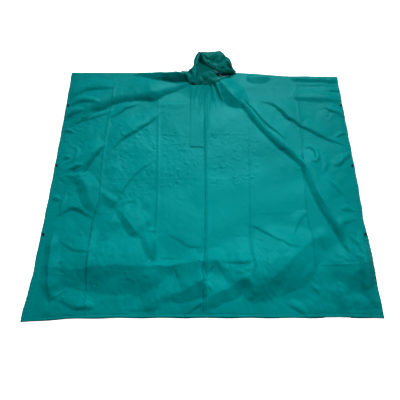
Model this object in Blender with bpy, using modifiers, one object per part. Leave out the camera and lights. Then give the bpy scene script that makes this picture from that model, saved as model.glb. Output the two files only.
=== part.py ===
"""Hooded rain poncho, laid out flat on its back.

One sheet of coated cloth lies on the surface as the back, a second lies on it as the front, and the
slouched hood stands at the neck.  X runs across the garment, Y from the hem to the hood, Z up.  The
origin is on the surface, under the middle of the bounding box.

Places on the garment are given as a maker gives them: "across" from the centre front crease and
"down" from the shoulder line, in metres.
"""

from typing import NamedTuple

import bmesh
import bpy
import numpy as np
from mathutils import Vector
from mathutils.bvhtree import BVHTree
from mathutils.geometry import delaunay_2d_cdt

# Driving sizes, in metres.
SHOULDER_HALF_WIDTH = 0.675
HEM_HALF_WIDTH = 0.704
BODY_LENGTH = 1.208
HEM_DROP_AT_CORNER = 0.018
CLOTH = 0.0012
SEAM_GAP = 0.0003
LAP_CLEAR = 0.0015

# The sheets, stacked from the surface up.
FRONT_REST = CLOTH + 2 * SEAM_GAP
AIR_UNDER_FRONT = 0.004
SIDE_EASE = 0.050
SHOULDER_ROUND = 0.022
OUTLINE_STEP = 0.034
FOLD_STEP = 0.032
FLANKS = (0.0, 0.45, -0.45, 0.95, -0.95)
SHOULDER_ROWS = (0.003, 0.009, 0.020)
SIDE_ROWS = (0.022, 0.050)
CLOSEST = 0.008
BACK_SHOWS = 0.003
BACK_STEP = 0.090

# The snaps that close each side.
SNAP_RADIUS = 0.0062
SNAP_HEIGHT = 0.0024
SNAP_INSET = 0.0085
ROUND_SIDES = 16
SNAP_ROWS = (("top", 0.200), ("middle", 0.535), ("bottom", 0.866))

# The flap that covers the neck opening.
PLACKET_LEFT = -0.067
PLACKET_RIGHT = 0.001
PLACKET_TOP = 0.0905
PLACKET_BOTTOM = 0.438

TEAL = (0.004, 0.225, 0.228, 1.0)
TEAL_SHADE = (0.003, 0.150, 0.155, 1.0)
SNAP_BLACK = (0.012, 0.013, 0.014, 1.0)
CORD_PALE = (0.300, 0.520, 0.580, 1.0)
LOCK_NAVY = (0.006, 0.020, 0.045, 1.0)


class EdgePlace(NamedTuple):
    """One station on a side edge of the body."""

    down: float
    across: float


class LinePlace(NamedTuple):
    """One station on the shoulder line or on the hem."""

    across: float
    down: float


class EvenArea(NamedTuple):
    """A stretch of the front that keeps points at least this close together."""

    name: str
    left: float
    right: float
    top: float
    bottom: float
    step: float


class Fold(NamedTuple):
    """A soft ridge in the front.  Walking along the crest, the cloth falls away over `left` and `right`."""

    name: str
    left: float
    right: float
    crest: tuple  # stations of (across, down, height)


class HoodRow(NamedTuple):
    """A strand of a hood panel from its face edge, over it and under it to the back of the neck.

    Each place is (across, up from the shoulder line, height above the surface).  The strand ends at
    the shoulder line, at neck_across.
    """

    name: str
    rim: tuple
    brow: tuple
    crest: tuple
    back: tuple
    foot: tuple
    under: tuple
    neck_across: float


class CordPlace(NamedTuple):
    """A point that the drawcord passes through."""

    across: float
    down: float
    z: float


class CollarRow(NamedTuple):
    """A strand of the chin piece, from the neck seam to its free top edge."""

    across: float
    seam_down: float
    top_down: float
    top_z: float
    bulge: float


LEFT_EDGE = (
    EdgePlace(0.00, -SHOULDER_HALF_WIDTH),
    EdgePlace(0.30, -SHOULDER_HALF_WIDTH - 0.003),
    EdgePlace(0.60, -0.685),
    EdgePlace(0.86, -0.691),
    EdgePlace(1.04, -HEM_HALF_WIDTH + 0.002),
    EdgePlace(BODY_LENGTH, -HEM_HALF_WIDTH - 0.016),
)
RIGHT_EDGE = (
    EdgePlace(0.00, SHOULDER_HALF_WIDTH + 0.002),
    EdgePlace(0.30, SHOULDER_HALF_WIDTH + 0.007),
    EdgePlace(0.60, 0.688),
    EdgePlace(0.86, 0.689),
    EdgePlace(1.04, HEM_HALF_WIDTH - 0.009),
    EdgePlace(BODY_LENGTH, HEM_HALF_WIDTH - 0.003),
)
SHOULDER_LINE = (
    LinePlace(-SHOULDER_HALF_WIDTH, 0.000),
    LinePlace(-0.40, 0.001),
    LinePlace(-0.12, 0.004),
    LinePlace(0.16, 0.008),
    LinePlace(0.40, 0.018),
    LinePlace(SHOULDER_HALF_WIDTH, 0.025),
)
HEM_LINE = (
    LinePlace(-HEM_HALF_WIDTH, BODY_LENGTH + HEM_DROP_AT_CORNER),
    LinePlace(-0.50, BODY_LENGTH + 0.006),
    LinePlace(-0.10, BODY_LENGTH),
    LinePlace(0.40, BODY_LENGTH),
    LinePlace(HEM_HALF_WIDTH, BODY_LENGTH + 0.002),
)

# The neck hole, walked from the left shoulder round the front to the right shoulder.
NECK_HOLE = (
    LinePlace(-0.116, -0.030),
    LinePlace(-0.112, 0.010),
    LinePlace(-0.092, 0.044),
    LinePlace(-0.069, 0.078),
    LinePlace(-0.050, 0.0825),
    LinePlace(0.052, 0.0845),
    LinePlace(0.072, 0.070),
    LinePlace(0.105, 0.049),
    LinePlace(0.138, 0.027),
    LinePlace(0.160, 0.014),
    LinePlace(0.172, -0.030),
)

EVEN_AREAS = (
    EvenArea("neck", -0.150, 0.200, 0.006, 0.130, 0.012),
    EvenArea("under the placket", -0.075, 0.010, 0.130, 0.450, 0.017),
    EvenArea("body", -0.660, 0.670, 0.040, 1.190, 0.050),
)

FOLDS = (
    Fold("neck rise", 0.120, 0.120, (
        (-0.07, 0.060, 0.014), (0.00, 0.060, 0.018), (0.06, 0.058, 0.014),
        (0.13, 0.030, 0.003),
    )),
    Fold("left shoulder roll", 0.060, 0.034, (
        (-0.075, 0.052, 0.003), (-0.125, 0.026, 0.015), (-0.20, 0.018, 0.016),
        (-0.30, 0.014, 0.009), (-0.40, 0.012, 0.001),
    )),
    Fold("left yoke fold", 0.034, 0.120, (
        (-0.08, 0.088, 0.002), (-0.17, 0.094, 0.011), (-0.27, 0.130, 0.015),
        (-0.42, 0.150, 0.014), (-0.52, 0.185, 0.012), (-0.64, 0.310, 0.001),
    )),
    Fold("left underarm fold", 0.026, 0.060, (
        (-0.44, 0.092, 0.001), (-0.54, 0.092, 0.010), (-0.65, 0.140, 0.001),
    )),
    Fold("left snap fold", 0.026, 0.050, (
        (-0.46, 0.198, 0.002), (-0.56, 0.188, 0.009), (-0.660, 0.200, 0.001),
    )),
    Fold("left chest fold", 0.036, 0.080, (
        (-0.18, 0.225, 0.001), (-0.27, 0.285, 0.008), (-0.36, 0.365, 0.010),
        (-0.45, 0.465, 0.001),
    )),
    Fold("left waist fold", 0.032, 0.070, (
        (-0.44, 0.405, 0.001), (-0.50, 0.490, 0.011), (-0.58, 0.610, 0.001),
    )),
    Fold("left hip fold", 0.038, 0.080, (
        (-0.64, 0.580, 0.001), (-0.57, 0.640, 0.011), (-0.50, 0.705, 0.011),
        (-0.40, 0.735, 0.001),
    )),
    Fold("left hip drape", 0.050, 0.036, (
        (-0.64, 0.785, 0.001), (-0.56, 0.745, 0.010), (-0.45, 0.815, 0.001),
    )),
    Fold("left side pleat", 0.040, 0.065, (
        (-0.620, 0.830, 0.001), (-0.616, 0.930, 0.012), (-0.612, 1.060, 0.011),
        (-0.600, 1.170, 0.001),
    )),
    Fold("left knee fold", 0.060, 0.036, (
        (-0.42, 0.735, 0.001), (-0.34, 0.815, 0.009), (-0.27, 0.890, 0.009),
        (-0.21, 1.000, 0.001),
    )),
    Fold("right neck fold", 0.090, 0.036, (
        (0.080, 0.075, 0.003), (0.125, 0.110, 0.012), (0.165, 0.160, 0.012),
        (0.215, 0.215, 0.002),
    )),
    Fold("right long fold", 0.026, 0.050, (
        (0.170, 0.135, 0.001), (0.240, 0.250, 0.012), (0.330, 0.365, 0.014),
        (0.410, 0.455, 0.012), (0.480, 0.620, 0.001),
    )),
    Fold("right upper fold", 0.080, 0.036, (
        (0.27, 0.175, 0.001), (0.38, 0.235, 0.009), (0.47, 0.330, 0.011),
        (0.57, 0.390, 0.008), (0.65, 0.440, 0.001),
    )),
    Fold("right shoulder fold", 0.055, 0.026, (
        (0.44, 0.158, 0.001), (0.56, 0.150, 0.009), (0.660, 0.165, 0.001),
    )),
    Fold("right thigh fold", 0.070, 0.036, (
        (0.430, 0.500, 0.001), (0.495, 0.650, 0.013), (0.550, 0.790, 0.012),
        (0.625, 1.000, 0.001),
    )),
    Fold("right hem facet", 0.130, 0.040, (
        (0.500, 0.860, 0.001), (0.400, 0.935, 0.012), (0.320, 1.015, 0.012),
        (0.230, 1.120, 0.001),
    )),
    Fold("right corner facet", 0.080, 0.046, (
        (0.680, 0.940, 0.001), (0.620, 1.030, 0.010), (0.570, 1.130, 0.001),
    )),
    Fold("centre hem fold", 0.050, 0.040, (
        (0.22, 1.090, 0.001), (0.12, 1.065, 0.010), (0.03, 1.130, 0.009),
        (-0.03, 1.190, 0.001),
    )),
)

HOOD_RIGHT = (
    HoodRow(
        "centre seam",
        (-0.0175, 0.050, 0.0725), (-0.0175, 0.059, 0.0755), (-0.0175, 0.070, 0.0755),
        (-0.0175, 0.094, 0.048), (-0.0175, 0.104, 0.006), (-0.0175, 0.060, 0.0),
        -0.0175,
    ),
    HoodRow(
        "by the seam",
        (-0.0130, 0.050, 0.0725), (-0.0120, 0.059, 0.0755), (-0.0110, 0.070, 0.0755),
        (-0.0110, 0.094, 0.048), (-0.0110, 0.104, 0.006), (-0.0110, 0.060, 0.0),
        -0.0110,
    ),
    HoodRow(
        "crown",
        (-0.003, 0.020, 0.0690), (0.002, 0.040, 0.0765), (0.006, 0.064, 0.0770),
        (0.008, 0.098, 0.049), (0.008, 0.110, 0.006), (0.007, 0.060, 0.0),
        0.006,
    ),
    HoodRow(
        "upper",
        (0.0180, -0.004, 0.0630), (0.027, 0.024, 0.0755), (0.036, 0.062, 0.0785),
        (0.040, 0.103, 0.050), (0.040, 0.118, 0.006), (0.036, 0.062, 0.0),
        0.032,
    ),
    HoodRow(
        "middle",
        (0.048, -0.019, 0.0545), (0.058, 0.014, 0.0710), (0.068, 0.064, 0.0785),
        (0.073, 0.107, 0.049), (0.073, 0.122, 0.006), (0.067, 0.064, 0.0),
        0.062,
    ),
    HoodRow(
        "outer",
        (0.082, -0.031, 0.0440), (0.090, 0.001, 0.0610), (0.101, 0.050, 0.0690),
        (0.105, 0.090, 0.043), (0.105, 0.106, 0.005), (0.100, 0.056, 0.0),
        0.095,
    ),
    HoodRow(
        "fall",
        (0.112, -0.025, 0.0330), (0.119, -0.001, 0.0450), (0.128, 0.030, 0.0520),
        (0.131, 0.062, 0.032), (0.131, 0.078, 0.004), (0.128, 0.042, 0.0),
        0.124,
    ),
    HoodRow(
        "corner",
        (0.141, -0.015, 0.0215), (0.146, -0.001, 0.0275), (0.150, 0.015, 0.0290),
        (0.152, 0.035, 0.017), (0.152, 0.047, 0.003), (0.150, 0.024, 0.0),
        0.147,
    ),
    HoodRow(
        "tip",
        (0.163, -0.009, 0.0120), (0.166, -0.002, 0.0135), (0.168, 0.006, 0.0130),
        (0.169, 0.015, 0.008), (0.169, 0.021, 0.002), (0.168, 0.008, 0.0),
        0.166,
    ),
)
HOOD_LEFT = (
    HoodRow(
        "centre seam",
        (-0.0180, 0.050, 0.0725), (-0.0180, 0.059, 0.0755), (-0.0180, 0.070, 0.0755),
        (-0.0180, 0.094, 0.048), (-0.0180, 0.104, 0.006), (-0.0180, 0.060, 0.0),
        -0.0180,
    ),
    HoodRow(
        "by the seam",
        (-0.0210, 0.050, 0.0725), (-0.0240, 0.058, 0.0750), (-0.0270, 0.069, 0.0745),
        (-0.0280, 0.092, 0.047), (-0.0280, 0.102, 0.006), (-0.0260, 0.060, 0.0),
        -0.0250,
    ),
    HoodRow(
        "upper",
        (-0.031, 0.012, 0.0590), (-0.038, 0.019, 0.0630), (-0.043, 0.038, 0.0590),
        (-0.045, 0.066, 0.034), (-0.045, 0.079, 0.005), (-0.040, 0.045, 0.0),
        -0.037,
    ),
    HoodRow(
        "middle",
        (-0.036, -0.018, 0.0490), (-0.044, -0.014, 0.0520), (-0.050, 0.002, 0.0470),
        (-0.055, 0.027, 0.026), (-0.056, 0.042, 0.004), (-0.053, 0.026, 0.0),
        -0.050,
    ),
    HoodRow(
        "lower",
        (-0.040, -0.050, 0.0390), (-0.049, -0.049, 0.0410), (-0.057, -0.038, 0.0350),
        (-0.067, -0.012, 0.021), (-0.072, 0.012, 0.004), (-0.069, 0.005, 0.0),
        -0.066,
    ),
    HoodRow(
        "neck seam",
        (-0.044, -0.086, 0.0270), (-0.056, -0.086, 0.0280), (-0.069, -0.080, 0.0250),
        (-0.093, -0.044, 0.015), (-0.117, 0.009, 0.0070), (-0.112, 0.004, 0.0),
        -0.108,
    ),
)
HOOD_UNDER_Z = 0.0003
HOOD_ROUND_SAMPLES = 20
HOOD_ACROSS_STEP = 0.0120
NORMAL_STEP = 0.004

CASING_WIDTH = 0.021
CASING_FROM_RIM = 0.0015
CASING_REACH = 0.4
CASING_TRIALS = 41
CASING_RISE = 0.0011
CASING_CLEAR = 0.0019

COLLAR = (
    CollarRow(-0.0510, 0.0855, 0.0700, 0.0255, 0.000),
    CollarRow(-0.0405, 0.0868, 0.0610, 0.0300, 0.000),
    CollarRow(-0.0250, 0.0875, 0.0480, 0.0400, 0.002),
    CollarRow(0.0000, 0.0880, 0.0345, 0.0470, 0.004),
    CollarRow(0.0300, 0.0885, 0.0265, 0.0500, 0.005),
    CollarRow(0.0520, 0.0875, 0.0350, 0.0440, 0.004),
    CollarRow(0.0720, 0.0750, 0.0475, 0.0350, 0.003),
    CollarRow(0.0980, 0.0575, 0.0400, 0.0280, 0.001),
    CollarRow(0.1250, 0.0395, 0.0280, 0.0195, 0.000),
    CollarRow(0.1400, 0.0300, 0.0210, 0.0145, 0.000),
    CollarRow(0.1560, 0.0190, 0.0135, 0.0105, 0.000),
)


# The drawcord's free end, from the casing over the lock to the knot that ends it.
CORD_RADIUS = 0.0016
CORD_ROUTE = (
    CordPlace(0.0493, 0.0170, 0.0524),
    CordPlace(0.0522, 0.0207, 0.0508),
    CordPlace(0.0548, 0.0240, 0.0499),
    CordPlace(0.0573, 0.0268, 0.0490),
    CordPlace(0.0600, 0.0287, 0.0486),
    CordPlace(0.0630, 0.0304, 0.0480),
    CordPlace(0.0658, 0.0321, 0.0469),
    CordPlace(0.0686, 0.0339, 0.0456),
    CordPlace(0.0714, 0.0357, 0.0443),
    CordPlace(0.0742, 0.0375, 0.0430),
    CordPlace(0.0770, 0.0393, 0.0414),
    CordPlace(0.0797, 0.0413, 0.0394),
    CordPlace(0.0825, 0.0434, 0.0375),
    CordPlace(0.0854, 0.0453, 0.0357),
    CordPlace(0.0886, 0.0464, 0.0341),
    CordPlace(0.0920, 0.0464, 0.0327),
    CordPlace(0.0957, 0.0455, 0.0314),
    CordPlace(0.0995, 0.0440, 0.0301),
    CordPlace(0.1034, 0.0423, 0.0287),
    CordPlace(0.1073, 0.0405, 0.0276),
    CordPlace(0.1112, 0.0386, 0.0268),
    CordPlace(0.1150, 0.0368, 0.0262),
)
LOCK_AT = 8
LOCK_RADIUS = 0.0046
LOCK_LENGTH = 0.010
LOCK_BORE_RADIUS = 0.0024
LOCK_ROUNDING = 0.0010
KNOT_RADIUS = 0.0034


def spline(stations, places):
    """Points of a smooth curve through the stations; places run from 0 at the first to 1 at the last."""
    stations = np.asarray(stations, float)
    last = len(stations) - 1
    padded = np.vstack([2 * stations[0] - stations[1], stations, 2 * stations[-1] - stations[-2]])
    along = np.clip(np.asarray(places, float), 0, 1) * last
    span = np.minimum(along.astype(int), last - 1)
    u = (along - span)[..., None]
    before, start, end, after = (padded[span + i] for i in range(4))
    return 0.5 * (
        2 * start
        + (end - before) * u
        + (2 * before - 5 * start + 4 * end - after) * u**2
        + (3 * start - before - 3 * end + after) * u**3
    )


def frame_shift():
    """What is added to (across, -down) so that the bounding box is centred on the origin."""
    left = min(p.across for p in LEFT_EDGE) - BACK_SHOWS
    right = max(p.across for p in RIGHT_EDGE) + BACK_SHOWS
    low = -max(p.down for p in HEM_LINE) - BACK_SHOWS
    high = max(row.foot[1] for row in HOOD_RIGHT) + CLOTH
    return -(left + right) / 2, -(low + high) / 2


SHIFT_X, SHIFT_Y = frame_shift()


def to_x(across):
    return across + SHIFT_X


def to_y(down):
    return SHIFT_Y - down


def edge(table, places):
    """A table's second column where its first column has the value `places`."""
    table = np.array(table, float)
    return np.interp(places, table[:, 0], table[:, 1])


def body_points(s, t):
    """(across, down) for shares s across the body and t down it."""
    top_left, top_right = -SHOULDER_HALF_WIDTH, SHOULDER_HALF_WIDTH
    rough_across = top_left + (top_right - top_left) * s
    down = edge(SHOULDER_LINE, rough_across) * (1 - t) + edge(HEM_LINE, rough_across) * t
    left, right = edge(LEFT_EDGE, down), edge(RIGHT_EDGE, down)
    return left + (right - left) * s, down


def nearest_on(crest, across, down):
    """For each point: the distance to the crest, the crest's height there, and True on its left."""
    best = np.full(across.shape, np.inf)
    height = np.zeros(across.shape)
    on_left = np.zeros(across.shape, bool)
    for start, end in zip(crest[:-1], crest[1:]):
        run_x, run_y = end[0] - start[0], start[1] - end[1]
        off_x, off_y = across - start[0], start[1] - down
        share = np.clip((off_x * run_x + off_y * run_y) / (run_x**2 + run_y**2), 0, 1)
        distance = np.hypot(off_x - share * run_x, off_y - share * run_y)
        closer = distance < best
        best = np.where(closer, distance, best)
        height = np.where(closer, start[2] + share * (end[2] - start[2]), height)
        on_left = np.where(closer, run_x * off_y - run_y * off_x > 0, on_left)
    return best, height, on_left


def fold_height(fold, across, down):
    crest = spline(fold.crest, np.linspace(0, 1, 6 * len(fold.crest)))
    distance, height, on_left = nearest_on(crest, across, down)
    reach = np.where(on_left, fold.left, fold.right)
    return height * np.clip(1 - (distance / reach) ** 2, 0, None) ** 2


def front_height(across, down):
    """The underside of the front above the surface.

    The front comes down to the back at the sides and the hem, and turns over into it at the shoulder.
    """
    from_side = np.clip((SHOULDER_HALF_WIDTH - np.abs(across)) / SIDE_EASE, 0, 1)
    from_hem = np.clip((BODY_LENGTH - down) / SIDE_EASE, 0, 1)
    from_shoulder = np.clip((down - edge(SHOULDER_LINE, across)) / SHOULDER_ROUND, 0, 1)
    air = AIR_UNDER_FRONT * from_side * (2 - from_side) * from_hem * (2 - from_hem)
    folds = sum(fold_height(fold, across, down) for fold in FOLDS)
    return FRONT_REST + (air + folds) * np.sqrt(from_shoulder * (2 - from_shoulder))


def material(name, colour, roughness):
    made = bpy.data.materials.new(name)
    made.use_nodes = True
    shader = made.node_tree.nodes["Principled BSDF"]
    shader.inputs["Base Color"].default_value = colour
    shader.inputs["Roughness"].default_value = roughness
    shader.inputs["Metallic"].default_value = 0.0
    return made


def add_object(name, mesh, finish, collection):
    obj = bpy.data.objects.new(name, mesh)
    mesh.materials.clear()
    mesh.materials.append(finish)
    collection.objects.link(obj)
    return obj


def grid_mesh(name, columns, rows, place):
    """A grid whose points go where `place` sends their shares across and down it."""
    bm = bmesh.new()
    bmesh.ops.create_grid(bm, x_segments=columns, y_segments=rows, size=0.5)
    verts = list(bm.verts)
    s = np.array([v.co.x + 0.5 for v in verts])
    t = np.array([0.5 - v.co.y for v in verts])
    for vert, point in zip(verts, place(s, t)):
        vert.co = point
    mesh = bpy.data.meshes.new(name)
    bm.to_mesh(mesh)
    bm.free()
    return mesh


def make_smooth(mesh, sharp_angle=0.7):
    mesh.shade_smooth()
    mesh.set_sharp_from_angle(angle=sharp_angle)


def solidify(obj, thickness, offset):
    shell = obj.modifiers.new("cloth", "SOLIDIFY")
    shell.thickness = thickness
    shell.offset = offset
    shell.use_even_offset = False
    return shell


def inside_rows(across, down):
    """True for the places inside the rows of points that run along the edges."""
    return (
        (across > edge(LEFT_EDGE, down) + SIDE_ROWS[0] - 0.001)
        & (across < edge(RIGHT_EDGE, down) - SIDE_ROWS[0] + 0.001)
        & (down > edge(SHOULDER_LINE, across) + SHOULDER_ROWS[0] - 0.001)
        & (down < edge(HEM_LINE, across) - SIDE_ROWS[0] + 0.001)
    )


def body_outline(step):
    """(across, down) round the body, from the top left corner clockwise."""
    over = np.linspace(0, 1, round(2 * SHOULDER_HALF_WIDTH / step) + 1)[:-1]
    along = np.linspace(0, 1, round(BODY_LENGTH / step) + 1)[:-1]
    sides = (
        body_points(over, 0 * over),
        body_points(0 * along + 1, along),
        body_points(1 - over, 0 * over + 1),
        body_points(0 * along, 1 - along),
    )
    return np.vstack([np.column_stack(side) for side in sides])


def fold_line(fold, flank):
    """A line along the fold: its crest at flank 0, the foot of its left side at 1, of its right at -1."""
    length = sum(np.hypot(b[0] - a[0], b[1] - a[1]) for a, b in zip(fold.crest[:-1], fold.crest[1:]))
    crest = spline(fold.crest, np.linspace(0, 1, round(length / FOLD_STEP) + 1))[:, :2]
    run = np.gradient(crest, axis=0)
    run /= np.linalg.norm(run, axis=1)[:, None]
    to_left = np.column_stack([run[:, 1], -run[:, 0]])
    reach = fold.left if flank > 0 else fold.right
    return crest + to_left * reach * flank


def front_lines():
    """The lines inside the outline that the front's mesh follows."""
    over = np.linspace(0, 1, round(2 * SHOULDER_HALF_WIDTH / OUTLINE_STEP) + 1)
    along = np.linspace(0, 1, round(BODY_LENGTH / OUTLINE_STEP) + 1)
    lines = [np.column_stack(body_points(over, 0 * over + row / BODY_LENGTH)) for row in SHOULDER_ROWS]
    for row in SIDE_ROWS:
        share = row / (2 * SHOULDER_HALF_WIDTH)
        lines.append(np.column_stack(body_points(0 * along + share, along)))
        lines.append(np.column_stack(body_points(0 * along + 1 - share, along)))
        lines.append(np.column_stack(body_points(over, 0 * over + 1 - row / BODY_LENGTH)))
    return lines + [fold_line(fold, flank) for flank in FLANKS for fold in FOLDS]


def front_points_and_edges():
    """The front's points as (across, down), and the pairs of them that an edge must join."""
    outline = body_outline(OUTLINE_STEP)
    points = outline.tolist()
    edges = [(i, (i + 1) % len(points)) for i in range(len(points))]
    for line in front_lines():
        taken = np.array(points)
        inside = inside_rows(line[:, 0], line[:, 1])
        before = None
        for spot, is_inside in zip(line, inside):
            free = is_inside and np.hypot(*(taken - spot).T).min() > CLOSEST
            if free and before is not None:
                edges.append((before, len(points)))
            before = len(points) if free else None
            if free:
                points.append(spot.tolist())
    for area in EVEN_AREAS:
        taken = np.array(points)
        for across in np.arange(area.left, area.right, area.step):
            for down in np.arange(area.top, area.bottom, area.step):
                if np.hypot(*(taken - (across, down)).T).min() > area.step * 0.6:
                    points.append([across, down])
    return points, edges


def front_mesh():
    """The front as one sheet of triangles that follow its folds."""
    points, edges = front_points_and_edges()
    places, _, faces, *_ = delaunay_2d_cdt([Vector((a, -d)) for a, d in points], edges, [], 1, 0.0005)
    across = np.array([place.x for place in places])
    down = np.array([-place.y for place in places])
    spots = np.column_stack([to_x(across), to_y(down), front_height(across, down)])
    mesh = bpy.data.meshes.new("front_panel")
    mesh.from_pydata(spots.tolist(), [], faces)
    return mesh


def extruded_outline(name, outline, low, high, collection):
    """A flat outline as a 2D curve, extruded from low to high, as a mesh object."""
    curve = bpy.data.curves.new(name, "CURVE")
    curve.dimensions = "2D"
    curve.fill_mode = "BOTH"
    curve.extrude = (high - low) / 2
    line = curve.splines.new("POLY")
    line.points.add(len(outline) - 1)
    for point, (x, y) in zip(line.points, outline):
        point.co = (x, y, 0, 1)
    line.use_cyclic_u = True
    guide = bpy.data.objects.new(name, curve)
    guide.location.z = (low + high) / 2
    collection.objects.link(guide)
    bpy.context.view_layer.update()
    graph = bpy.context.evaluated_depsgraph_get()
    mesh = bpy.data.meshes.new_from_object(guide.evaluated_get(graph))
    mesh.transform(guide.matrix_world)
    bpy.data.objects.remove(guide)
    bm = bmesh.new()
    bm.from_mesh(mesh)
    bmesh.ops.remove_doubles(bm, verts=bm.verts, dist=1e-6)
    bmesh.ops.recalc_face_normals(bm, faces=bm.faces)
    bm.to_mesh(mesh)
    bm.free()
    obj = bpy.data.objects.new(name, mesh)
    collection.objects.link(obj)
    return obj


def cut(obj, cutter):
    """Cuts the cutter out of the object."""
    boolean = obj.modifiers.new("cut", "BOOLEAN")
    boolean.operation = "DIFFERENCE"
    boolean.object = cutter


def make_back(finish, collection):
    """The back: a flat sheet on the surface, showing a little past the front at the sides and the hem."""
    outline = body_outline(BACK_STEP)
    at_side = np.sign(outline[:, 0]) * (np.abs(outline[:, 0]) > SHOULDER_HALF_WIDTH - 0.01)
    at_hem = outline[:, 1] > BODY_LENGTH - 0.001
    outline += BACK_SHOWS * np.column_stack([at_side, at_hem])
    corners = [(to_x(across), to_y(down)) for across, down in outline]
    back = extruded_outline("back_panel", corners, 0.0, CLOTH, collection)
    back.data.materials.append(finish)
    return back


def make_front(finish, collection, cutters):
    """The front: one draped sheet over the back, with the neck hole cut out of its top edge."""
    front = add_object("front_panel", front_mesh(), finish, collection)
    make_smooth(front.data)
    solidify(front, CLOTH, 1.0)
    hole = [(to_x(p.across), to_y(p.down)) for p in NECK_HOLE]
    cutter = extruded_outline("neck_cutter", hole, -0.02, 0.12, cutters)
    cutter.hide_render = True
    cutter.display_type = "WIRE"
    cut(front, cutter)
    return front


def make_placket(finish, collection):
    """The flap over the neck opening: a strip that follows the front, moved up off it."""
    def place(s, t):
        across = PLACKET_LEFT + (PLACKET_RIGHT - PLACKET_LEFT) * s
        down = PLACKET_TOP + (PLACKET_BOTTOM - PLACKET_TOP) * t
        lift = CLOTH + LAP_CLEAR
        return np.column_stack([to_x(across), to_y(down), front_height(across, down) + lift])

    mesh = grid_mesh("front_placket", 5, 26, place)
    make_smooth(mesh)
    placket = add_object("front_placket", mesh, finish, collection)
    solidify(placket, CLOTH, 1.0)
    return placket


def seat_on_front(points, clear):
    """Lifts what reaches over the front's neck edge until it is `clear` above the front's face."""
    across, down = points[:, 0] - SHIFT_X, SHIFT_Y - points[:, 1]
    on_body = (down > edge(SHOULDER_LINE, across) - CLOTH) & (points[:, 2] > 2 * CLOTH)
    seat = np.where(on_body, front_height(across, down) + CLOTH + clear, 0)
    points[:, 2] = np.maximum(points[:, 2], seat)
    return points


def neck_end(across):
    """Where a strand of the hood meets the back panel's neck edge."""
    return to_x(across), to_y(edge(SHOULDER_LINE, across) - 2 * SEAM_GAP), HOOD_UNDER_Z


def hood_surface(rows):
    """A function giving the hood's outer surface for shares s along the rows and t along a row."""
    controls = np.array([
        [(to_x(a), to_y(-up), z + HOOD_UNDER_Z) for a, up, z in row[1:-1]] + [neck_end(row.neck_across)]
        for row in rows
    ])

    def surface(s, t):
        strands = np.array([spline(controls[:, i], s) for i in range(controls.shape[1])])
        points = np.array([spline(strands[:, k], t[k]) for k in range(len(t))])
        points[:, 2] = np.maximum(points[:, 2], HOOD_UNDER_Z)
        return seat_on_front(points, LAP_CLEAR + CLOTH + 2 * SEAM_GAP)

    return surface


def outward(surface, s, t):
    """Unit normals of a surface, by small steps along it."""
    along_s = surface(np.minimum(s + NORMAL_STEP, 1), t) - surface(np.maximum(s - NORMAL_STEP, 0), t)
    along_t = surface(s, np.minimum(t + NORMAL_STEP, 1)) - surface(s, np.maximum(t - NORMAL_STEP, 0))
    normal = np.cross(along_s, along_t)
    return normal / np.linalg.norm(normal, axis=1)[:, None]


def hood_columns(rows):
    crests = np.array([row.crest for row in rows])
    length = np.linalg.norm(np.diff(crests, axis=0), axis=1).sum()
    return round(length / HOOD_ACROSS_STEP)


def make_hood_panel(name, rows, thicken, finish, collection):
    """One side of the hood, from its face edge over the crown and under it to the neck."""
    mesh = grid_mesh(name, hood_columns(rows), HOOD_ROUND_SAMPLES, hood_surface(rows))
    make_smooth(mesh, 1.2)
    panel = add_object(name, mesh, finish, collection)
    solidify(panel, CLOTH, thicken)
    return panel


def share_at(surface, s, distance):
    """How far along each row lies the given distance from the rim."""
    trial = np.linspace(0, CASING_REACH, CASING_TRIALS)
    shares = []
    for one_s, one_distance in zip(s, distance):
        line = surface(np.full(CASING_TRIALS, one_s), trial)
        travelled = np.concatenate([[0], np.cumsum(np.linalg.norm(np.diff(line, axis=0), axis=1))])
        shares.append(np.interp(one_distance, travelled, trial))
    return np.array(shares)


def make_casing(name, rows, outer, ends, finish, collection):
    """The cord channel along a face edge: the panel's own points by its rim, moved out."""
    surface = hood_surface(rows)

    def place(s, t):
        s = ends[0] + (ends[1] - ends[0]) * s
        share = share_at(surface, s, CASING_FROM_RIM + t * CASING_WIDTH)
        return surface(s, share) + outer * CASING_CLEAR * outward(surface, s, share)

    mesh = grid_mesh(name, 2 * hood_columns(rows), 3, place)
    make_smooth(mesh, 1.2)
    casing = add_object(name, mesh, finish, collection)
    solidify(casing, CASING_RISE, -outer)
    return casing


def make_collar(finish, collection):
    """The chin piece, standing from the neck seam and leaning back into the hood."""
    table = np.array(COLLAR)

    def place(s, t):
        across, seam_down, top_down, top_z, bulge = spline(table, s).T
        down = seam_down + (top_down - seam_down) * t
        seam_z = front_height(across, seam_down) + CLOTH + LAP_CLEAR
        z = seam_z + (top_z - seam_z) * t + bulge * np.sin(np.pi * t)
        return seat_on_front(np.column_stack([to_x(across), to_y(down), z]), LAP_CLEAR)

    mesh = grid_mesh("chin_collar", 24, 5, place)
    make_smooth(mesh, 1.2)
    collar = add_object("chin_collar", mesh, finish, collection)
    solidify(collar, CLOTH, -1.0)
    return collar


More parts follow.
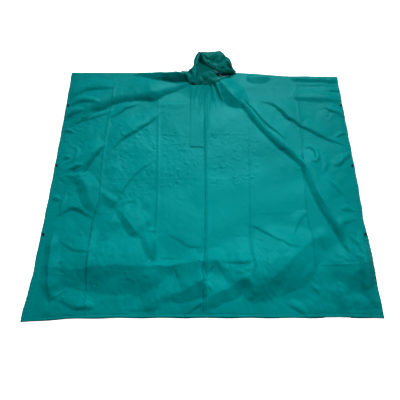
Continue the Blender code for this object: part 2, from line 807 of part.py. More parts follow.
def make_snap(name, across, down, front_face, finish, collection):
    """A snap's domed cap, seated square on the front and just clear of it."""
    above, below = 1.0, Vector((0, 0, -1))
    middle, normal, *_ = front_face.ray_cast(Vector((to_x(across), to_y(down), above)), below)
    proud = 0.0
    for turn in np.linspace(0, 2 * np.pi, ROUND_SIDES, endpoint=False):
        side = Vector((np.cos(turn), np.sin(turn), 0)) * SNAP_RADIUS
        under_rim, *_ = front_face.ray_cast(Vector((middle.x, middle.y, above)) + side, below)
        proud = max(proud, (under_rim - middle).dot(normal))
    place = middle + normal * (proud + 2 * SEAM_GAP + SNAP_HEIGHT / 2)
    rotation = normal.to_track_quat("Z", "Y").to_euler()
    snap = add_cylinder(name, SNAP_RADIUS, SNAP_HEIGHT, place, rotation, collection)
    snap.data.materials.append(finish)
    dome = snap.modifiers.new("dome", "BEVEL")
    dome.width = SNAP_HEIGHT * 0.45
    dome.segments = 1
    dome.limit_method = "ANGLE"
    make_smooth(snap.data)
    return snap


def as_mesh_object(name, maker, finish, collection):
    """The object's evaluated form as a mesh object of its own; the maker is removed."""
    bpy.context.view_layer.update()
    graph = bpy.context.evaluated_depsgraph_get()
    mesh = bpy.data.meshes.new_from_object(maker.evaluated_get(graph))
    bpy.data.objects.remove(maker)
    mesh.name = name
    make_smooth(mesh)
    return add_object(name, mesh, finish, collection)


def make_drawcord(finish, collection):
    """The cord as a tube along its route."""
    curve = bpy.data.curves.new("drawcord", "CURVE")
    curve.dimensions = "3D"
    curve.bevel_depth = CORD_RADIUS
    curve.bevel_resolution = 1
    curve.use_fill_caps = True
    line = curve.splines.new("POLY")
    line.points.add(len(CORD_ROUTE) - 1)
    for point, place in zip(line.points, CORD_ROUTE):
        point.co = (to_x(place.across), to_y(place.down), place.z, 1)
    maker = bpy.data.objects.new("drawcord", curve)
    collection.objects.link(maker)
    return as_mesh_object("drawcord", maker, finish, collection)


def place_vector(place):
    return Vector((to_x(place.across), to_y(place.down), place.z))


def add_cylinder(name, radius, depth, place, rotation, collection):
    bpy.ops.mesh.primitive_cylinder_add(
        vertices=ROUND_SIDES,
        radius=radius,
        depth=depth,
        location=place,
        rotation=rotation,
    )
    made = bpy.context.active_object
    made.name = name
    made.data.name = name
    for owner in list(made.users_collection):
        owner.objects.unlink(made)
    collection.objects.link(made)
    return made


def make_cord_lock(finish, collection):
    """The sliding lock: a barrel on the cord, turned about it from the section of its wall."""
    outer, inner, end = LOCK_RADIUS, LOCK_BORE_RADIUS, LOCK_LENGTH / 2
    section = (
        (outer, end - LOCK_ROUNDING),
        (outer, LOCK_ROUNDING - end),
        (outer - LOCK_ROUNDING, -end),
        (inner, -end),
        (inner, end),
        (outer - LOCK_ROUNDING, end),
    )
    mesh = bpy.data.meshes.new("cord_lock")
    corners = [(radius, 0, height) for radius, height in section]
    mesh.from_pydata(corners, [(i, (i + 1) % len(corners)) for i in range(len(corners))], [])
    before, centre, after = (place_vector(CORD_ROUTE[LOCK_AT + i]) for i in (-1, 0, 1))
    lock = add_object("cord_lock", mesh, finish, collection)
    lock.location = centre
    lock.rotation_euler = (after - before).to_track_quat("Z", "Y").to_euler()
    turned = lock.modifiers.new("turned", "SCREW")
    turned.steps = turned.render_steps = ROUND_SIDES
    turned.use_merge_vertices = True
    turned.merge_threshold = 0.00001
    turned.use_smooth_shade = True
    return lock


def make_cord_knot(finish, collection):
    """The knot that ends the cord."""
    last, one_before = place_vector(CORD_ROUTE[-1]), place_vector(CORD_ROUTE[-2])
    ahead = (last - one_before).normalized()
    bpy.ops.mesh.primitive_uv_sphere_add(
        segments=12,
        ring_count=8,
        radius=KNOT_RADIUS,
        location=last + ahead * (KNOT_RADIUS + 2 * SEAM_GAP),
    )
    knot = bpy.context.active_object
    knot.name = "cord_knot"
    knot.data.name = "cord_knot"
    for owner in list(knot.users_collection):
        owner.objects.unlink(knot)
    collection.objects.link(knot)
    knot.data.materials.append(finish)
    make_smooth(knot.data, 3.0)
    return knot


def main():
    for obj in list(bpy.data.objects):
        bpy.data.objects.remove(obj)
    poncho = bpy.data.collections.new("rain_poncho")
    cutters = bpy.data.collections.new("cutters")
    for collection in (poncho, cutters):
        bpy.context.scene.collection.children.link(collection)

    cloth = material("coated_cloth", TEAL, 0.42)
    casing = material("casing_cloth", TEAL_SHADE, 0.46)
    black = material("snap_black", SNAP_BLACK, 0.35)
    cord = material("cord_pale", CORD_PALE, 0.70)
    navy = material("lock_navy", LOCK_NAVY, 0.35)

    make_back(cloth, poncho)
    front = make_front(cloth, poncho, cutters)
    make_placket(cloth, poncho)
    make_hood_panel("hood_right", HOOD_RIGHT, 1.0, cloth, poncho)
    make_hood_panel("hood_left", HOOD_LEFT, -1.0, cloth, poncho)
    make_casing("hood_casing_right", HOOD_RIGHT, 1.0, (0.04, 0.93), casing, poncho)
    make_casing("hood_casing_left", HOOD_LEFT, -1.0, (0.06, 0.97), casing, poncho)
    make_collar(cloth, poncho)
    make_drawcord(cord, poncho)
    make_cord_lock(navy, poncho)
    make_cord_knot(cord, poncho)
    bpy.context.view_layer.update()
    front_face = BVHTree.FromObject(front, bpy.context.evaluated_depsgraph_get())
    for row, down in SNAP_ROWS:
        left = edge(LEFT_EDGE, down) + SNAP_INSET
        right = edge(RIGHT_EDGE, down) - SNAP_INSET
        make_snap(f"snap_left_{row}", left, down, front_face, black, poncho)
        make_snap(f"snap_right_{row}", right, down, front_face, black, poncho)


main()
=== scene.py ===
"""Hooded rain poncho of thin coated cloth, laid out flat on its back.

Sizes are in metres, and in millimetres in the tables that in_metres reads.  Places on the garment are
given as a cutter gives them: "across" from the centre front crease and "down" from the shoulder line.
to_x and to_y turn them into the row frame, where X runs across the garment, Y from the hem to the hood
and Z up from the surface.
"""

import math
from typing import NamedTuple

import bmesh
import bpy
import numpy as np
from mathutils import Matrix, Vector
from mathutils.bvhtree import BVHTree
from mathutils.geometry import delaunay_2d_cdt


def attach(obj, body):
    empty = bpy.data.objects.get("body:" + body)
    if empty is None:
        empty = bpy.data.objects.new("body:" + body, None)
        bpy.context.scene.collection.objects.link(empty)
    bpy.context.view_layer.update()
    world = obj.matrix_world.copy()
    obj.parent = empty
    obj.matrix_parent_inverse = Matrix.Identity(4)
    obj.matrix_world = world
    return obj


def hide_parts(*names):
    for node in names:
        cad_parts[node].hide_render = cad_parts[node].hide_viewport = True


bl_info = {
    "name": "Laid-out rain poncho",
    "version": (1, 0, 0),
    "blender": (4, 5, 0),
    "location": "View3D > Sidebar > Poncho",
    "description": "Builds a hooded rain poncho, laid out flat, piece by piece",
    "category": "Object",
}

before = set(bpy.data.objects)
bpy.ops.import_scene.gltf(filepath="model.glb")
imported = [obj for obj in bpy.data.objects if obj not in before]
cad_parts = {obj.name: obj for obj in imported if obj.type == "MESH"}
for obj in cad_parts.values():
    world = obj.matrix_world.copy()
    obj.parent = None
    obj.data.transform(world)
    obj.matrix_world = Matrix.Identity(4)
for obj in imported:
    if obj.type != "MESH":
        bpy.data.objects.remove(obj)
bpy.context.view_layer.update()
BODY = "root"

# Driving sizes.
SHOULDER_HALF_WIDTH = 0.675
HEM_HALF_WIDTH = 0.704
BODY_LENGTH = 1.208
HEM_DROP_AT_CORNER = 0.018
CLOTH = 0.0012
THIN_CLOTH = 0.0008
SEAM_GAP = 0.0003
LAP_CLEAR = 0.0015
FRONT_REST = CLOTH + 2 * SEAM_GAP
AIR_UNDER_FRONT = 0.004
SIDE_EASE = 0.050
SHOULDER_ROUND = 0.010
BACK_SHOWS = 0.003

# How finely the cloth is cut into faces.  Flanks are shares of a fold's reach at which faces follow it.
CREST_SAMPLES = 8
EDGE_SAMPLES = 41
HEM_LINE_SAMPLES = 260
OUTLINE_STEP = 0.004
GRID_STEP = 0.0054
UNDER_STEP = 0.014
UNDER_LOOK = 0.007
CLOSEST = 0.0024
FOLD_STEP = 0.0055
FLANKS = (0.0, 0.25, -0.25, 0.55, -0.55, 0.98, -0.98)
CREASE_FLANKS = (0.0, 0.9, -0.9)
NARROWEST = 0.06
NECK_MARGIN = 0.002
SAME_PLACE = 1e-7
NO_LENGTH = 1e-9

# The back, whose cut edge wavers where it shows beyond the front.
BACK_STEP = 0.008
BACK_CLOSEST = 0.006
BACK_GRID = 0.05
BACK_TRIM = 0.0012
BACK_WAVER = 0.0009
BACK_WAVES = (61, 37)
BACK_SIDE_MARGIN = 0.01
BACK_HEM_MARGIN = 0.001

# The flap that covers the neck opening.
FLAP_LEFT = -0.067
FLAP_RIGHT = 0.001
FLAP_TOP = 0.0905
FLAP_BOTTOM = 0.438
FLAP_GRID = (26, 110)
FLAP_LIFT = 0.0022
FLAP_LIFT_SHARE = 0.09
FLAP_FOOT = 0.020
FLAP_CLEAR = 0.7
FLAP_CHANNEL = 0.0005
FLAP_CHANNEL_SHARE = 0.03
FLAP_SEAMS = (0.09, 0.90)
FLAP_FOOT_SEAMS = (0.005, 0.017)

# Hems and sewing.  A pucker is (pitch, height).
HEM_WIDTH = 0.012
HEM_INSETS = (0.0030, 0.0095, HEM_WIDTH, 0.0145)
HEM_PROUD = 0.0007
HEM_ROUND = 0.35
HEM_GROOVE = 0.0009
HEM_GROOVE_WIDTH = 0.0018
PUCKER_REACH = 0.016
PUCKER_ROUND = 0.7
PUCKER_SLANT = 60
PUCKER_STRAY = (2.1, 9)
SIDE_PUCKER = (0.019, 0.0016)
HEM_PUCKER = (0.026, 0.0004)
STITCH_PITCH = 0.0036
STITCH_LENGTH = 0.0026
STITCH_RADIUS = 0.00035
STITCH_SIDES = 6
STITCH_RINGS = ((-1.0, 0.15), (-0.6, 0.85), (0.0, 1.0), (0.6, 0.85), (1.0, 0.15))  # place, size
STITCH_DIP = 0.0002
STITCH_SUNK = 0.6
SEAM_INSET = 0.005
SEAM_SAMPLES = 500

SNAP_RADIUS = 0.0062
SNAP_HEIGHT = 0.0024
SNAP_INSET = 0.0085
SNAP_SIDES = 28
SNAP_TRIALS = 12
SNAP_TRIAL_REACH = 0.9
SNAP_SEAT = 0.42
SNAP_ROWS = (("top", 0.200), ("middle", 0.535), ("bottom", 0.866))
# A domed cap with a dished middle and a rolled edge, in shares of (radius, height).
SNAP_SECTION = (
    (0.0, -0.5), (0.92, -0.5), (1.0, -0.30), (1.0, 0.05), (0.94, 0.30),
    (0.80, 0.46), (0.62, 0.50), (0.52, 0.36), (0.30, 0.26), (0.0, 0.24),
)


class EdgePlace(NamedTuple):
    """One station on a side edge of the body."""

    down: float
    across: float


class LinePlace(NamedTuple):
    """One station on the shoulder line, the hem or the neck."""

    across: float
    down: float


class Fold(NamedTuple):
    """A ridge in the front.  Walking along the crest, the cloth falls away over `left` and `right`.

    Each side has a shape from SHAPES.  A crest below zero is a trough.
    """

    name: str
    left: float
    left_shape: str
    right: float
    right_shape: str
    crest: tuple  # stations of (across, down, height)


class Crumple(NamedTuple):
    """An area of the front with small, sharp, uneven creases."""

    name: str
    left: float
    right: float
    top: float
    bottom: float
    count: int
    length: float
    height: float
    reach: float


class HoodRow(NamedTuple):
    """A strand of a hood panel from its face edge, over it and under it to the back of the neck.

    Each place is (across, up from the shoulder line, height above the surface).  The strand ends at
    the shoulder line, at neck_across.
    """

    name: str
    rim: tuple
    brow: tuple
    crest: tuple
    back: tuple
    foot: tuple
    under: tuple
    neck_across: float


class CordPlace(NamedTuple):
    """A point that the drawcord passes through."""

    across: float
    down: float
    z: float


class CollarRow(NamedTuple):
    """A strand of the chin piece, from the neck seam to its free top edge."""

    across: float
    seam_down: float
    top_down: float
    top_z: float
    bulge: float


# How a fold's side falls from its crest: (roundness of the crest, softness of the foot).
SHAPES = {"soft": (2, 2), "roll": (2, 1), "crease": (1, 2), "plane": (1, 1)}


def in_metres(*parts):
    """A table whose sizes are given in millimetres, turned into metres."""
    made = []
    for part in parts:
        if isinstance(part, tuple):
            scaled = in_metres(*part)
            part = type(part)(*scaled) if hasattr(part, "_fields") else scaled
        elif not isinstance(part, str):
            part = part / 1000
        made.append(part)
    return tuple(made)


def rows_of(kind, *rows):
    """A table of one kind of row."""
    return tuple(kind(*row) for row in rows)


LEFT_EDGE = rows_of(
    EdgePlace,
    (0.00, -SHOULDER_HALF_WIDTH), (0.30, -SHOULDER_HALF_WIDTH - 0.004), (0.60, -0.686), (0.86, -0.695),
    (0.92, -0.699), (1.04, -HEM_HALF_WIDTH + 0.002), (BODY_LENGTH, -HEM_HALF_WIDTH - 0.016),
)
RIGHT_EDGE = rows_of(
    EdgePlace,
    (0.00, SHOULDER_HALF_WIDTH + 0.002), (0.30, SHOULDER_HALF_WIDTH + 0.007), (0.60, 0.688), (0.74, 0.6875),
    (0.80, 0.6855), (0.845, 0.6870), (0.88, 0.6935), (1.04, HEM_HALF_WIDTH - 0.009),
    (BODY_LENGTH, HEM_HALF_WIDTH - 0.003),
)
SHOULDER_LINE = rows_of(
    LinePlace,
    (-SHOULDER_HALF_WIDTH, -0.0050), (-0.40, -0.0045), (-0.30, -0.0025), (-0.20, 0.0030), (-0.12, 0.0070),
    (0.00, 0.0020), (0.16, -0.0050), (0.28, 0.0045), (0.42, 0.0185), (SHOULDER_HALF_WIDTH, 0.0215),
)
HEM_LINE = rows_of(
    LinePlace,
    (-HEM_HALF_WIDTH, BODY_LENGTH + HEM_DROP_AT_CORNER), (-0.50, BODY_LENGTH + 0.0030),
    (-0.32, BODY_LENGTH), (-0.15, BODY_LENGTH), (0.40, BODY_LENGTH), (0.50, BODY_LENGTH - 0.0020),
    (HEM_HALF_WIDTH, BODY_LENGTH + 0.002),
)

# The neck hole's edge, from the left shoulder round the front to the right shoulder.
NECK_EDGE = rows_of(
    LinePlace,
    (-0.1135, 0.0068), (-0.112, 0.012), (-0.092, 0.044), (-0.069, 0.078), (-0.050, 0.0825), (0.052, 0.0845),
    (0.072, 0.070), (0.105, 0.049), (0.138, 0.027), (0.160, 0.014), (0.1625, -0.0008),
)

FOLDS = in_metres(
    Fold("neck rise", 130, "soft", 130, "soft", (
        (-140, 60, 2), (-70, 58, 12), (0, 56, 16), (60, 54, 15), (130, 28, 4),
    )),
    # The left shoulder and chest, from the neck outwards and down.
    Fold("left shoulder roll", 40, "soft", 38, "plane", (
        (-350, 7, 2), (-290, 16, 14), (-220, 27, 29), (-165, 32, 38), (-130, 34, 40), (-100, 40, 30),
        (-78, 48, 14),
    )),
    Fold("left yoke fold", 150, "soft", 48, "roll", (
        (-645, 312, 2), (-590, 255, 12), (-550, 208, 20), (-510, 187, 21), (-463, 162, 18), (-396, 147, 14),
        (-312, 135, 17), (-255, 130, 23), (-208, 104, 16), (-140, 85, 10), (-80, 71, 2),
    )),
    Fold("left underarm fold", 60, "soft", 29, "roll", (
        (-656, 155, 2), (-628, 122, 11), (-590, 95, 13), (-533, 87, 13), (-470, 95, 8), (-440, 104, 1),
    )),
    Fold("left snap fold", 35, "soft", 19, "roll", (
        (-657, 196, 3), (-602, 177, 10), (-550, 183, 8), (-510, 196, 1),
    )),
    Fold("left second snap fold", 30, "soft", 19, "roll", (
        (-672, 280, 3), (-650, 255, 9), (-622, 239, 9), (-580, 235, 1),
    )),
    Fold("left chest crinkle", 35, "soft", 16, "roll", (
        (-460, 279, 1), (-420, 244, 7), (-380, 215, 8), (-322, 191, 1),
    )),
    Fold("left chest crinkle 2", 25, "soft", 13, "roll", (
        (-612, 304, 1), (-565, 278, 5), (-505, 257, 5), (-448, 234, 1),
    )),
    Fold("left chest fold", 80, "soft", 17, "roll", (
        (-436, 452, 1), (-407, 415, 6), (-385, 386, 9), (-342, 351, 10), (-283, 309, 9), (-239, 266, 5),
        (-212, 243, 1),
    )),
    Fold("left waist fold", 80, "soft", 25, "roll", (
        (-572, 590, 2), (-555, 563, 13), (-540, 529, 18), (-520, 485, 18), (-487, 444, 13), (-460, 420, 1),
    )),
    Fold("left dash", 22, "soft", 15, "roll", ((-624, 556, 1), (-588, 545, 9), (-546, 540, 1))),
    Fold("left curl", 16, "soft", 13, "roll", (
        (-628, 428, 1), (-592, 452, 5), (-596, 500, 6), (-646, 528, 1),
    )),
    Fold("left snap knob", 14, "soft", 12, "roll", ((-650, 497, 2), (-634, 490, 7), (-618, 496, 1))),
    Fold("left snap knob 2", 14, "soft", 12, "roll", ((-664, 352, 2), (-646, 346, 7), (-622, 356, 1))),
    # The left hip and knee.
    Fold("left hip fold", 20, "soft", 13, "roll", (
        (-630, 586, 1), (-585, 592, 6), (-545, 588, 5), (-520, 576, 1),
    )),
    Fold("left hip facet", 60, "soft", 46, "plane", (
        (-602, 606, 2), (-550, 616, 16), (-520, 655, 21), (-506, 700, 18), (-478, 745, 9), (-455, 778, 1),
    )),
    Fold("left snap knob 3", 16, "soft", 16, "roll", ((-674, 694, 2), (-655, 697, 7), (-634, 706, 1))),
    Fold("left side line", 20, "soft", 12, "plane", ((-610, 672, 1), (-624, 723, 5), (-626, 778, 1))),
    Fold("left hem curl", 75, "soft", 18, "roll", (
        (-650, 788, 1), (-606, 754, 6), (-572, 741, 8), (-534, 753, 9), (-484, 788, 3), (-470, 803, 1),
    )),
    Fold("left knee line", 50, "soft", 10, "roll", (
        (-396, 728, 1), (-376, 690, 3), (-357, 639, 5), (-327, 590, 5), (-289, 552, 4), (-240, 516, 1),
    )),
    Fold("left knee wedge", 40, "soft", 34, "plane", (
        (-462, 664, 1), (-432, 697, 8), (-400, 717, 8), (-380, 728, 1),
    )),
    Fold("left knee wedge 2", 22, "soft", 14, "roll", ((-390, 744, 1), (-356, 722, 5), (-320, 715, 1))),
    Fold("left knee west leg", 55, "soft", 28, "plane", (
        (-385, 758, 1), (-398, 800, 11), (-418, 850, 14), (-446, 898, 1),
    )),
    Fold("left knee east leg", 100, "soft", 34, "plane", (
        (-388, 742, 1), (-369, 759, 7), (-329, 808, 16), (-294, 850, 20), (-272, 874, 7), (-258, 888, 1),
    )),
    Fold("left knee facet", 35, "soft", 26, "plane", (
        (-257, 822, 1), (-244, 880, 13), (-230, 935, 15), (-210, 976, 4),
    )),
    Fold("left knee strip", 20, "plane", 60, "soft", (
        (-302, 696, 1), (-278, 770, 6), (-258, 800, 6), (-246, 856, 1),
    )),
    Fold("left knee dash", 16, "soft", 8, "roll", ((-250, 852, 1), (-226, 851, 3), (-202, 852, 1))),
    # The left hem.
    Fold("left side pleat", 40, "plane", 44, "crease", (
        (-642, 866, 2), (-640, 920, 16), (-634, 1000, 22), (-627, 1080, 21), (-618, 1125, 9),
        (-612, 1150, 1),
    )),
    Fold("left shin fold", 75, "soft", 17, "roll", (
        (-612, 892, 1), (-575, 911, 5), (-535, 931, 7), (-490, 940, 4), (-468, 940, 1),
    )),
    Fold("left low step", 200, "soft", 112, "plane", (
        (-630, 1014, 3), (-518, 1018, 18), (-437, 1012, 28), (-341, 1010, 33), (-253, 1011, 31),
        (-200, 1010, 16), (-150, 1008, 3),
    )),
    Fold("left step crease", 35, "soft", 48, "plane", (
        (-214, 1004, 4), (-213, 1060, 14), (-211, 1130, 13), (-209, 1192, 3),
    )),
    Fold("left hem corner fold", 70, "soft", 17, "roll", (
        (-608, 1130, 1), (-555, 1145, 5), (-508, 1160, 6), (-470, 1163, 3), (-452, 1170, 1),
    )),
    Fold("left hem spur", 11, "crease", 11, "crease", ((-618, 1140, 1), (-585, 1118, 4), (-553, 1098, 1))),
    Fold("left hem knob", 30, "soft", 20, "roll", ((-498, 1168, 2), (-466, 1163, 5), (-438, 1168, 1))),
    Fold("left hem blob", 50, "soft", 18, "roll", ((-300, 1174, 1), (-245, 1168, 5), (-203, 1172, 3))),
    # The middle of the hem.
    Fold("centre low step", 24, "plane", 80, "crease", (
        (-217, 1006, 4), (-143, 1003, 12), (-78, 995, 15), (-12, 990, 12), (-3, 990, 2),
    )),
    Fold("centre left hem leaf", 150, "soft", 64, "plane", (
        (-192, 1150, 1), (-140, 1121, 7), (-89, 1110, 16), (-55, 1090, 25), (-16, 1070, 33), (-3, 1066, 28),
        (4, 1064, 2),
    )),
    Fold("centre left crinkle", 60, "soft", 10, "roll", (
        (-157, 860, 1), (-101, 891, 2.2), (-62, 914, 3.4), (-16, 920, 1),
    )),
    Fold("centre facet", 60, "soft", 60, "plane", (
        (-6, 984, 10), (20, 985, 18), (44, 987, 18), (60, 1010, 9), (78, 1040, 1),
    )),
    Fold("centre knob", 20, "soft", 20, "plane", ((-2, 1084, 2), (14, 1090, 6), (30, 1104, 1))),
    Fold("centre right hem fold", 190, "soft", 56, "plane", (
        (0, 1150, 9), (30, 1130, 16), (65, 1106, 21), (99, 1096, 20), (135, 1069, 26), (161, 1060, 29),
        (178, 1070, 26), (188, 1100, 18), (193, 1130, 9), (194, 1156, 1),
    )),
    Fold("right low crinkle", 30, "soft", 13, "roll", (
        (74, 982, 0.6), (120, 987, 4.4), (163, 990, 5), (195, 981, 1.7), (208, 972, 0.6),
    )),
    Fold("right low tick", 12, "soft", 9, "roll", ((240, 1030, 1), (242, 1050, 3), (240, 1074, 1))),
    # The right neck and chest.
    Fold("right neck fold", 95, "soft", 50, "plane", (
        (62, 42, 6), (99, 100, 22), (130, 147, 26), (154, 172, 22), (180, 190, 12), (205, 210, 3),
        (222, 226, 1),
    )),
    Fold("right long fold", 9, "crease", 31, "roll", (
        (187, 171, 1), (205, 198, 10), (236, 248, 15), (266, 294, 15), (301, 350, 15), (353, 410, 17),
        (405, 461, 17), (433, 497, 12), (466, 554, 1),
    )),
    Fold("right lap slope", 110, "soft", 120, "plane", (
        (436, 524, 1), (470, 526, 9), (512, 530, 9), (548, 538, 1),
    )),
    Fold("right long back fold", 100, "soft", 9, "plane", (
        (152, 137, 1), (211, 184, 6), (246, 232, 7), (273, 275, 8), (303, 311, 7), (337, 347, 5),
        (381, 396, 1),
    )),
    Fold("right thigh fold", 110, "soft", 36, "roll", (
        (452, 510, 3), (482, 592, 13), (506, 656, 16), (529, 729, 16), (553, 784, 16), (576, 832, 15),
        (595, 891, 13), (607, 930, 8), (620, 962, 1),
    )),
    Fold("right thigh line", 22, "soft", 10, "roll", ((550, 600, 1), (590, 648, 5), (614, 694, 1))),
    Fold("right thigh tuck", 12, "soft", 14, "crease", ((487, 640, 1), (508, 700, 4), (526, 748, 1))),
    Fold("right upper fold", 85, "soft", 16, "roll", (
        (278, 175, 1), (346, 195, 6), (376, 229, 9), (409, 267, 10), (443, 294, 10), (463, 319, 8),
        (495, 333, 8), (560, 375, 8), (636, 417, 3), (655, 427, 1),
    )),
    Fold("right shoulder fold", 80, "soft", 30, "soft", (
        (440, 154, 1), (468, 153, 6), (550, 156, 8), (638, 163, 7), (668, 166, 3),
    )),
    Fold("right top fold", 26, "soft", 30, "soft", (
        (436, 38, 1), (462, 37, 6), (560, 40, 8), (650, 42, 7), (672, 44, 3),
    )),
    Fold("right top line", 12, "crease", 20, "soft", ((450, 74, 1), (560, 72, 3), (650, 74, 1))),
    Fold("right shoulder dip", 30, "soft", 38, "plane", (
        (214, 36, 1), (240, 34, 9), (300, 33, 10), (334, 34, 2),
    )),
    Fold("right snap fold", 28, "soft", 12, "roll", ((586, 214, 1), (633, 235, 7), (677, 264, 3))),
    Fold("right underarm fold", 20, "soft", 13, "roll", ((598, 108, 1), (640, 108, 6), (675, 110, 3))),
    Fold("right elbow dash", 20, "soft", 11, "roll", ((618, 384, 1), (642, 370, 6), (668, 357, 2))),
    Fold("right middle snap fold", 30, "soft", 17, "roll", ((592, 540, 1), (626, 514, 9), (672, 475, 3))),
    Fold("right elbow hook", 14, "roll", 18, "soft", (
        (462, 440, 1), (500, 442, 6), (521, 474, 8), (510, 514, 6), (482, 512, 1),
    )),
    Fold("right elbow drape", 24, "soft", 18, "soft", ((546, 470, 1), (552, 530, 6), (534, 580, 1))),
    # The right hip and hem.
    Fold("right snap hook", 14, "roll", 34, "soft", (
        (650, 798, 1), (606, 811, 5), (582, 827, 6), (577, 850, 5), (582, 884, 1),
    )),
    Fold("right snap puff", 24, "soft", 20, "soft", ((584, 756, 1), (620, 748, 6), (656, 760, 1))),
    Fold("right lap crinkle", 75, "soft", 11, "roll", (
        (194, 824, 1), (243, 842, 4), (273, 861, 4.2), (303, 884, 3.6), (329, 895, 3), (352, 915, 3.6),
        (398, 924, 1),
    )),
    Fold("right knee crinkle", 11, "roll", 40, "soft", (
        (444, 770, 1), (413, 790, 4), (396, 820, 4), (376, 860, 1),
    )),
    Fold("right hem facet", 190, "soft", 108, "plane", (
        (196, 1130, 1), (218, 1106, 5), (250, 1078, 11), (292, 1040, 21), (329, 1007, 28), (363, 972, 28),
        (407, 936, 20), (455, 898, 7), (478, 880, 1),
    )),
    Fold("right hip patch", 60, "soft", 62, "plane", ((466, 890, 4), (500, 884, 9), (532, 888, 2))),
    Fold("right hem curve", 30, "soft", 14, "roll", ((322, 1150, 1), (358, 1164, 6), (392, 1190, 2))),
    Fold("right hem line", 14, "soft", 10, "roll", ((430, 1074, 1), (447, 1096, 4), (462, 1122, 1))),
    Fold("right hem tent", 40, "soft", 46, "plane", (
        (528, 1070, 1), (540, 1102, 10), (551, 1136, 11), (562, 1190, 7),
    )),
    Fold("right corner facet", 140, "soft", 90, "plane", (
        (554, 1106, 2), (578, 1071, 14), (603, 1040, 24), (635, 1008, 27), (664, 988, 20), (682, 976, 8),
    )),
    Fold("right corner diagonal", 34, "soft", 19, "plane", (
        (610, 878, 1), (640, 914, 9), (662, 950, 9), (678, 980, 3),
    )),
    Fold("right side roll", 32, "roll", 40, "soft", (
        (660, 840, 1), (660, 930, 14), (655, 1030, 18), (655, 1100, 13), (680, 1165, 1),
    )),
    Fold("right hem band", 40, "soft", 30, "roll", ((524, 1152, 1), (600, 1152, 4), (680, 1150, 2))),
    Fold("flap light line", 11, "soft", 30, "soft", ((-212, 197, 1), (-140, 199, 3), (-68, 192, 1))),
)

# Gathers that fan out below the neck seam.
GATHERS = in_metres(
    Fold("gather 1", 12, "crease", 10, "crease", ((21, 90, 7), (6, 165, 5), (-28, 240, 0.4))),
    Fold("gather 2", 9, "crease", 13, "crease", ((40, 90, 7), (48, 150, 5.8), (62, 226, 0.4))),
    Fold("gather 3", 11, "crease", 9, "crease", ((-4, 90, 6), (-18, 150, 4.8), (-26, 215, 0.4))),
    Fold("gather 4", 10, "crease", 14, "crease", ((60, 84, 7), (80, 142, 6), (102, 206, 0.4))),
    Fold("gather 5", 7, "soft", 7, "soft", ((31, 90, -5), (33, 165, -4), (37, 260, -0.3))),
    Fold("gather 6", 11, "crease", 9, "crease", ((-34, 92, 4.8), (-44, 165, 3.6), (-48, 245, 0.3))),
    Fold("gather 7", 6, "soft", 6, "soft", ((10, 110, -3.6), (-10, 190, -4), (-36, 280, -0.4))),
    Fold("gather 8", 8, "crease", 8, "crease", ((18, 150, 3.4), (20, 240, 3.4), (18, 345, 0.4))),
    Fold("gather 9", 9, "soft", 9, "crease", ((50, 94, -4), (66, 160, -3.6), (90, 226, -0.3))),
    Fold("gather 10", 8, "crease", 10, "crease", ((-56, 100, 3.6), (-60, 190, 2.8), (-60, 320, 0.3))),
)

